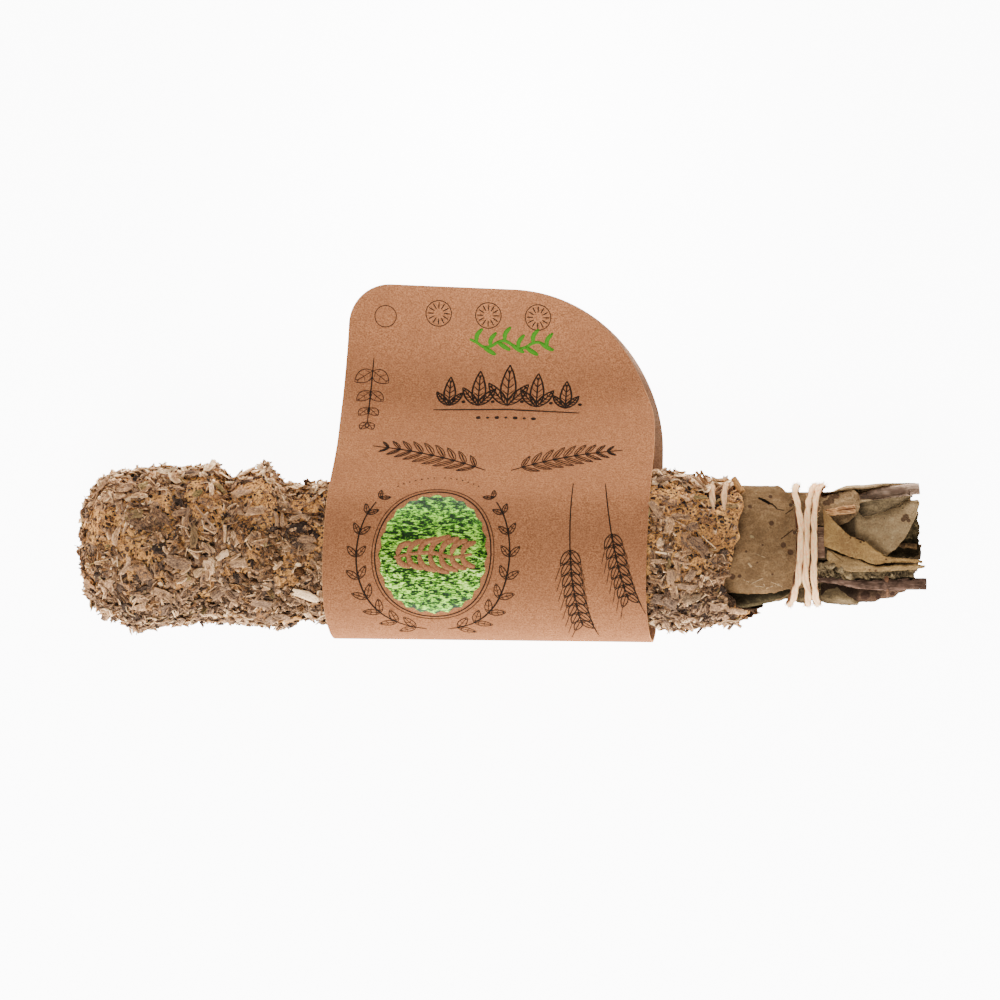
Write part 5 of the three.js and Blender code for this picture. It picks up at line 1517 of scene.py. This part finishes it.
for grow, width in ((1.1, 0.3), (1.8, 0.18)):
    ink_line([seal_rim(degrees, grow) for degrees in range(0, 361, 12)], width, taper=0.0)
for side in (-1, 1):
    ink_line([seal_rim(-90 + side * degrees, WREATH_OUT) for degrees in range(8, 140, 12)], 0.4)
    for n in range(9):
        degrees = -90 + side * (16 + 14.5 * n)
        foot = seal_rim(degrees, WREATH_OUT)
        size = 4.6 - 0.25 * n
        way = degrees + side * 90
        for lean_out in (-42, 40):
            ink_leaf(foot, way + lean_out, size, size * 0.42, veins=3)
    for n in range(7):
        ink_dot(*seal_rim(90 - side * (4 + 4.6 * n), 5.6), 0.2)

for n in range(-2, 3):
    foot = (PRINT_MIDDLE + 7.0 * n, 30.4 + 0.3 * abs(n))
    for way in (90, 90 - 34, 90 + 34):
        tall = (12.0 if way == 90 else 8.6) - 1.5 * abs(n)
        ink_leaf(foot, way, tall, 0.3 * tall, veins=5, line=0.44)
    ink_dot(foot[0] + 3.5, foot[1] - 1.6, 0.5)
ink_line([(PRINT_MIDDLE + 3.5 * n, 32.0 + 0.15 * abs(n)) for n in range(-5, 6)], 0.5)
for n in range(-3, 4):
    ink_dot(PRINT_MIDDLE + 2.2 * n, 35.2 + 0.1 * abs(n), 0.4 + 0.2 * (n % 2))
for n in range(3):
    middle = (-16 + 12 * n, 6.6)
    for turn in range(0, 360, 30):
        ink_line([polar(middle, turn, 1.2), polar(middle, turn, 2.7)], 0.3)
    ink_line([polar(middle, turn, 3.1) for turn in range(0, 361, 20)], 0.22, taper=0.0)


def ink_sockets(place):
    worn = place.noise(0.35, 3.0, 0.7).step(0.66, 0.72)
    return matt((worn * 0.5).mix((36, 28, 23), (82, 56, 40)), 0.9)


piece("sleeve_print_dark", ink, finish_of("dark_ink", ink_sockets), "kraft_card", wall=INK_WALL)

# The green part of the print: a row of leaves on a wavy stem.
green = bmesh.new()
GREEN_STEP = 0.014  # leaves that cross lie one over the other
wave = [(PRINT_MIDDLE + 1.7 * n, 13.4 + 0.9 * math.sin(n * 1.3)) for n in range(-6, 7)]
ink_line(wave, 0.75, green, taper=0.3)
for n, foot in enumerate(wave[1:-1], -5):
    side = 1 if n % 2 else -1
    leaf_line = [foot, polar(foot, 30 + side * 62, 1.7), polar(foot, 20 + side * 50, 3.6)]
    ink_line(leaf_line, 1.1, green, taper=0.8,
             height=INK_HEIGHT + GREEN_STEP * (1 + n % 4))


def green_sockets(place):
    worn = place.noise(0.4, 3.0, 0.7).step(0.62, 0.7)
    return matt((worn * 0.35).mix((58, 114, 28), (90, 100, 46)), 0.6)


piece("sleeve_print_green", green, finish_of("green_ink", green_sockets), "kraft_card", wall=INK_WALL)

# ------------------------------------------------------------------ the foil seal
# Green foil, stamped hot onto the card: an oval with a scalloped rim, crinkled all over, with a plain sprig
# in the colour of the card across its middle. Its colour carries painted reflection: bright glints in the
# crinkles, and darker towards both ends along Y.
SEAL_RINGS, SEAL_SPOKES = 12, 96


def seal_point(i, j):
    degrees = 360 * i
    rim = 1 + 0.025 * math.cos(math.radians(24 * degrees))
    share = rim * (0.02 + 0.98 * j)
    a = math.radians(degrees)
    return on_card(
        SEAL[0] + SEAL_ACROSS * share * math.cos(a), SEAL[1] + SEAL_ALONG * share * math.sin(a), INK_HEIGHT)


def foil_sockets(place):
    crinkle = place.stretched(0.7, 1.4, 1.0).noise(1.3, 4.0, 0.7)
    flash = place.stretched(0.6, 1.8, 1.0).noise(0.6, 3.0, 0.75)
    up = place.node("ShaderNodeSeparateXYZ", output=1, Vector=place)
    # painted reflection: the foil's colour carries bright glints and darker bands by Y, standing in for what
    # it reflects
    painted_reflection = (crinkle * 0.5 + flash * 0.5).step(0.43, 0.57)
    painted_reflection = painted_reflection - up.step(-0.011, 0.013) * 0.32 - up.step(-0.003, -0.015) * 0.26
    colour = painted_reflection.ramp((0.0, (14, 34, 5)), (0.3, (44, 92, 16)), (0.6, (104, 168, 38)),
                        (0.85, (176, 220, 84)), (1.0, (236, 250, 170)))
    creases = (crinkle + flash * 0.6).bump(0.5)
    return {"Base Color": colour, "Metallic": 0.9, "Roughness": 0.35, "Normal": creases}


foil = sheet(SEAL_SPOKES, SEAL_RINGS, seal_point)
bmesh.ops.remove_doubles(foil, verts=foil.verts, dist=1e-4)
piece("sleeve_foil_seal", foil, finish_of("green_foil", foil_sockets), "kraft_card", wall=INK_WALL)
sprig = bmesh.new()
SPRIG_HEIGHT = INK_HEIGHT + 0.05
ink_line([(SEAL[0] - 9.0 + 4.5 * n, SEAL[1] + 0.6 * math.cos(2 * n)) for n in range(5)], 0.9, sprig,
         height=SPRIG_HEIGHT)
for n in range(-3, 4):
    foot = (SEAL[0] + 2.5 * n - 0.8, SEAL[1])
    for side in (-1, 1):
        tip = 6.4 - 0.7 * abs(n)
        leaf_line = [foot, polar(foot, side * 66, tip * 0.5), polar(foot, side * 42, tip)]
        ink_line(leaf_line, 1.4, sprig, taper=0.8, height=SPRIG_HEIGHT)
piece("sleeve_foil_sprig", sprig, kraft_finish, "kraft_card", wall=INK_WALL)

# ------------------------------------------------------------------ floor, light and camera
# A plain pale floor under the bunch, soft studio light from above and from the side that the card bends
# round, and a camera that looks straight down.
def stage_finish(place):
    glow = {"Emission Color": (1.0, 1.0, 1.0, 1.0), "Emission Strength": 10.0}
    return {**matt((0.9, 0.9, 0.9, 1.0), 0.9), **glow}


floor_mesh = bmesh.new()
bmesh.ops.create_grid(floor_mesh, x_segments=1, y_segments=1, size=3.0)
mesh = bpy.data.meshes.new("floor")
floor_mesh.to_mesh(mesh)
floor_mesh.free()
mesh.materials.append(finish_of("floor_paint", stage_finish))
floor = add_object("floor", mesh)
floor.location.z = -0.2 * MM

soft_box = bpy.data.lights.new("soft_box", "AREA")
soft_box.shape, soft_box.size, soft_box.energy = "SQUARE", 0.6, 19.0
soft_lamp = add_object("soft_box", soft_box)
soft_lamp.location = (-0.2, -0.6, 0.9)
soft_lamp.rotation_euler = (-soft_lamp.location).to_track_quat("-Z", "Y").to_euler()
flap_light = bpy.data.lights.new("flap_light", "SPOT")
flap_light.energy, flap_light.spot_size, flap_light.spot_blend = 62.0, math.radians(9.0), 0.6
flap_light.shadow_soft_size = 0.05
flap_lamp = add_object("flap_light", flap_light)
flap_lamp.location = (0.0, 0.1, 0.8)
world = bpy.data.worlds.new("studio")
world.use_nodes = True
sky = world.node_tree.nodes["Background"].inputs
sky["Color"].default_value, sky["Strength"].default_value = (1.0, 1.0, 1.0, 1.0), 0.6
bpy.context.scene.world = world

SENSOR = 36.0
CAMERA_HEIGHT = 900.0
VIEW_WIDTH = 237.2  # the width that the picture shows, in mm, at VIEW_HEIGHT above the floor
VIEW_HEIGHT = 18.0
camera = bpy.data.cameras.new("camera")
camera.sensor_width = SENSOR
camera.lens = SENSOR * (CAMERA_HEIGHT - VIEW_HEIGHT) / VIEW_WIDTH
camera_object = add_object("camera", camera)
camera_object.location = Vector((-1.5, 11.4, CAMERA_HEIGHT)) * MM
bpy.context.scene.camera = camera_object
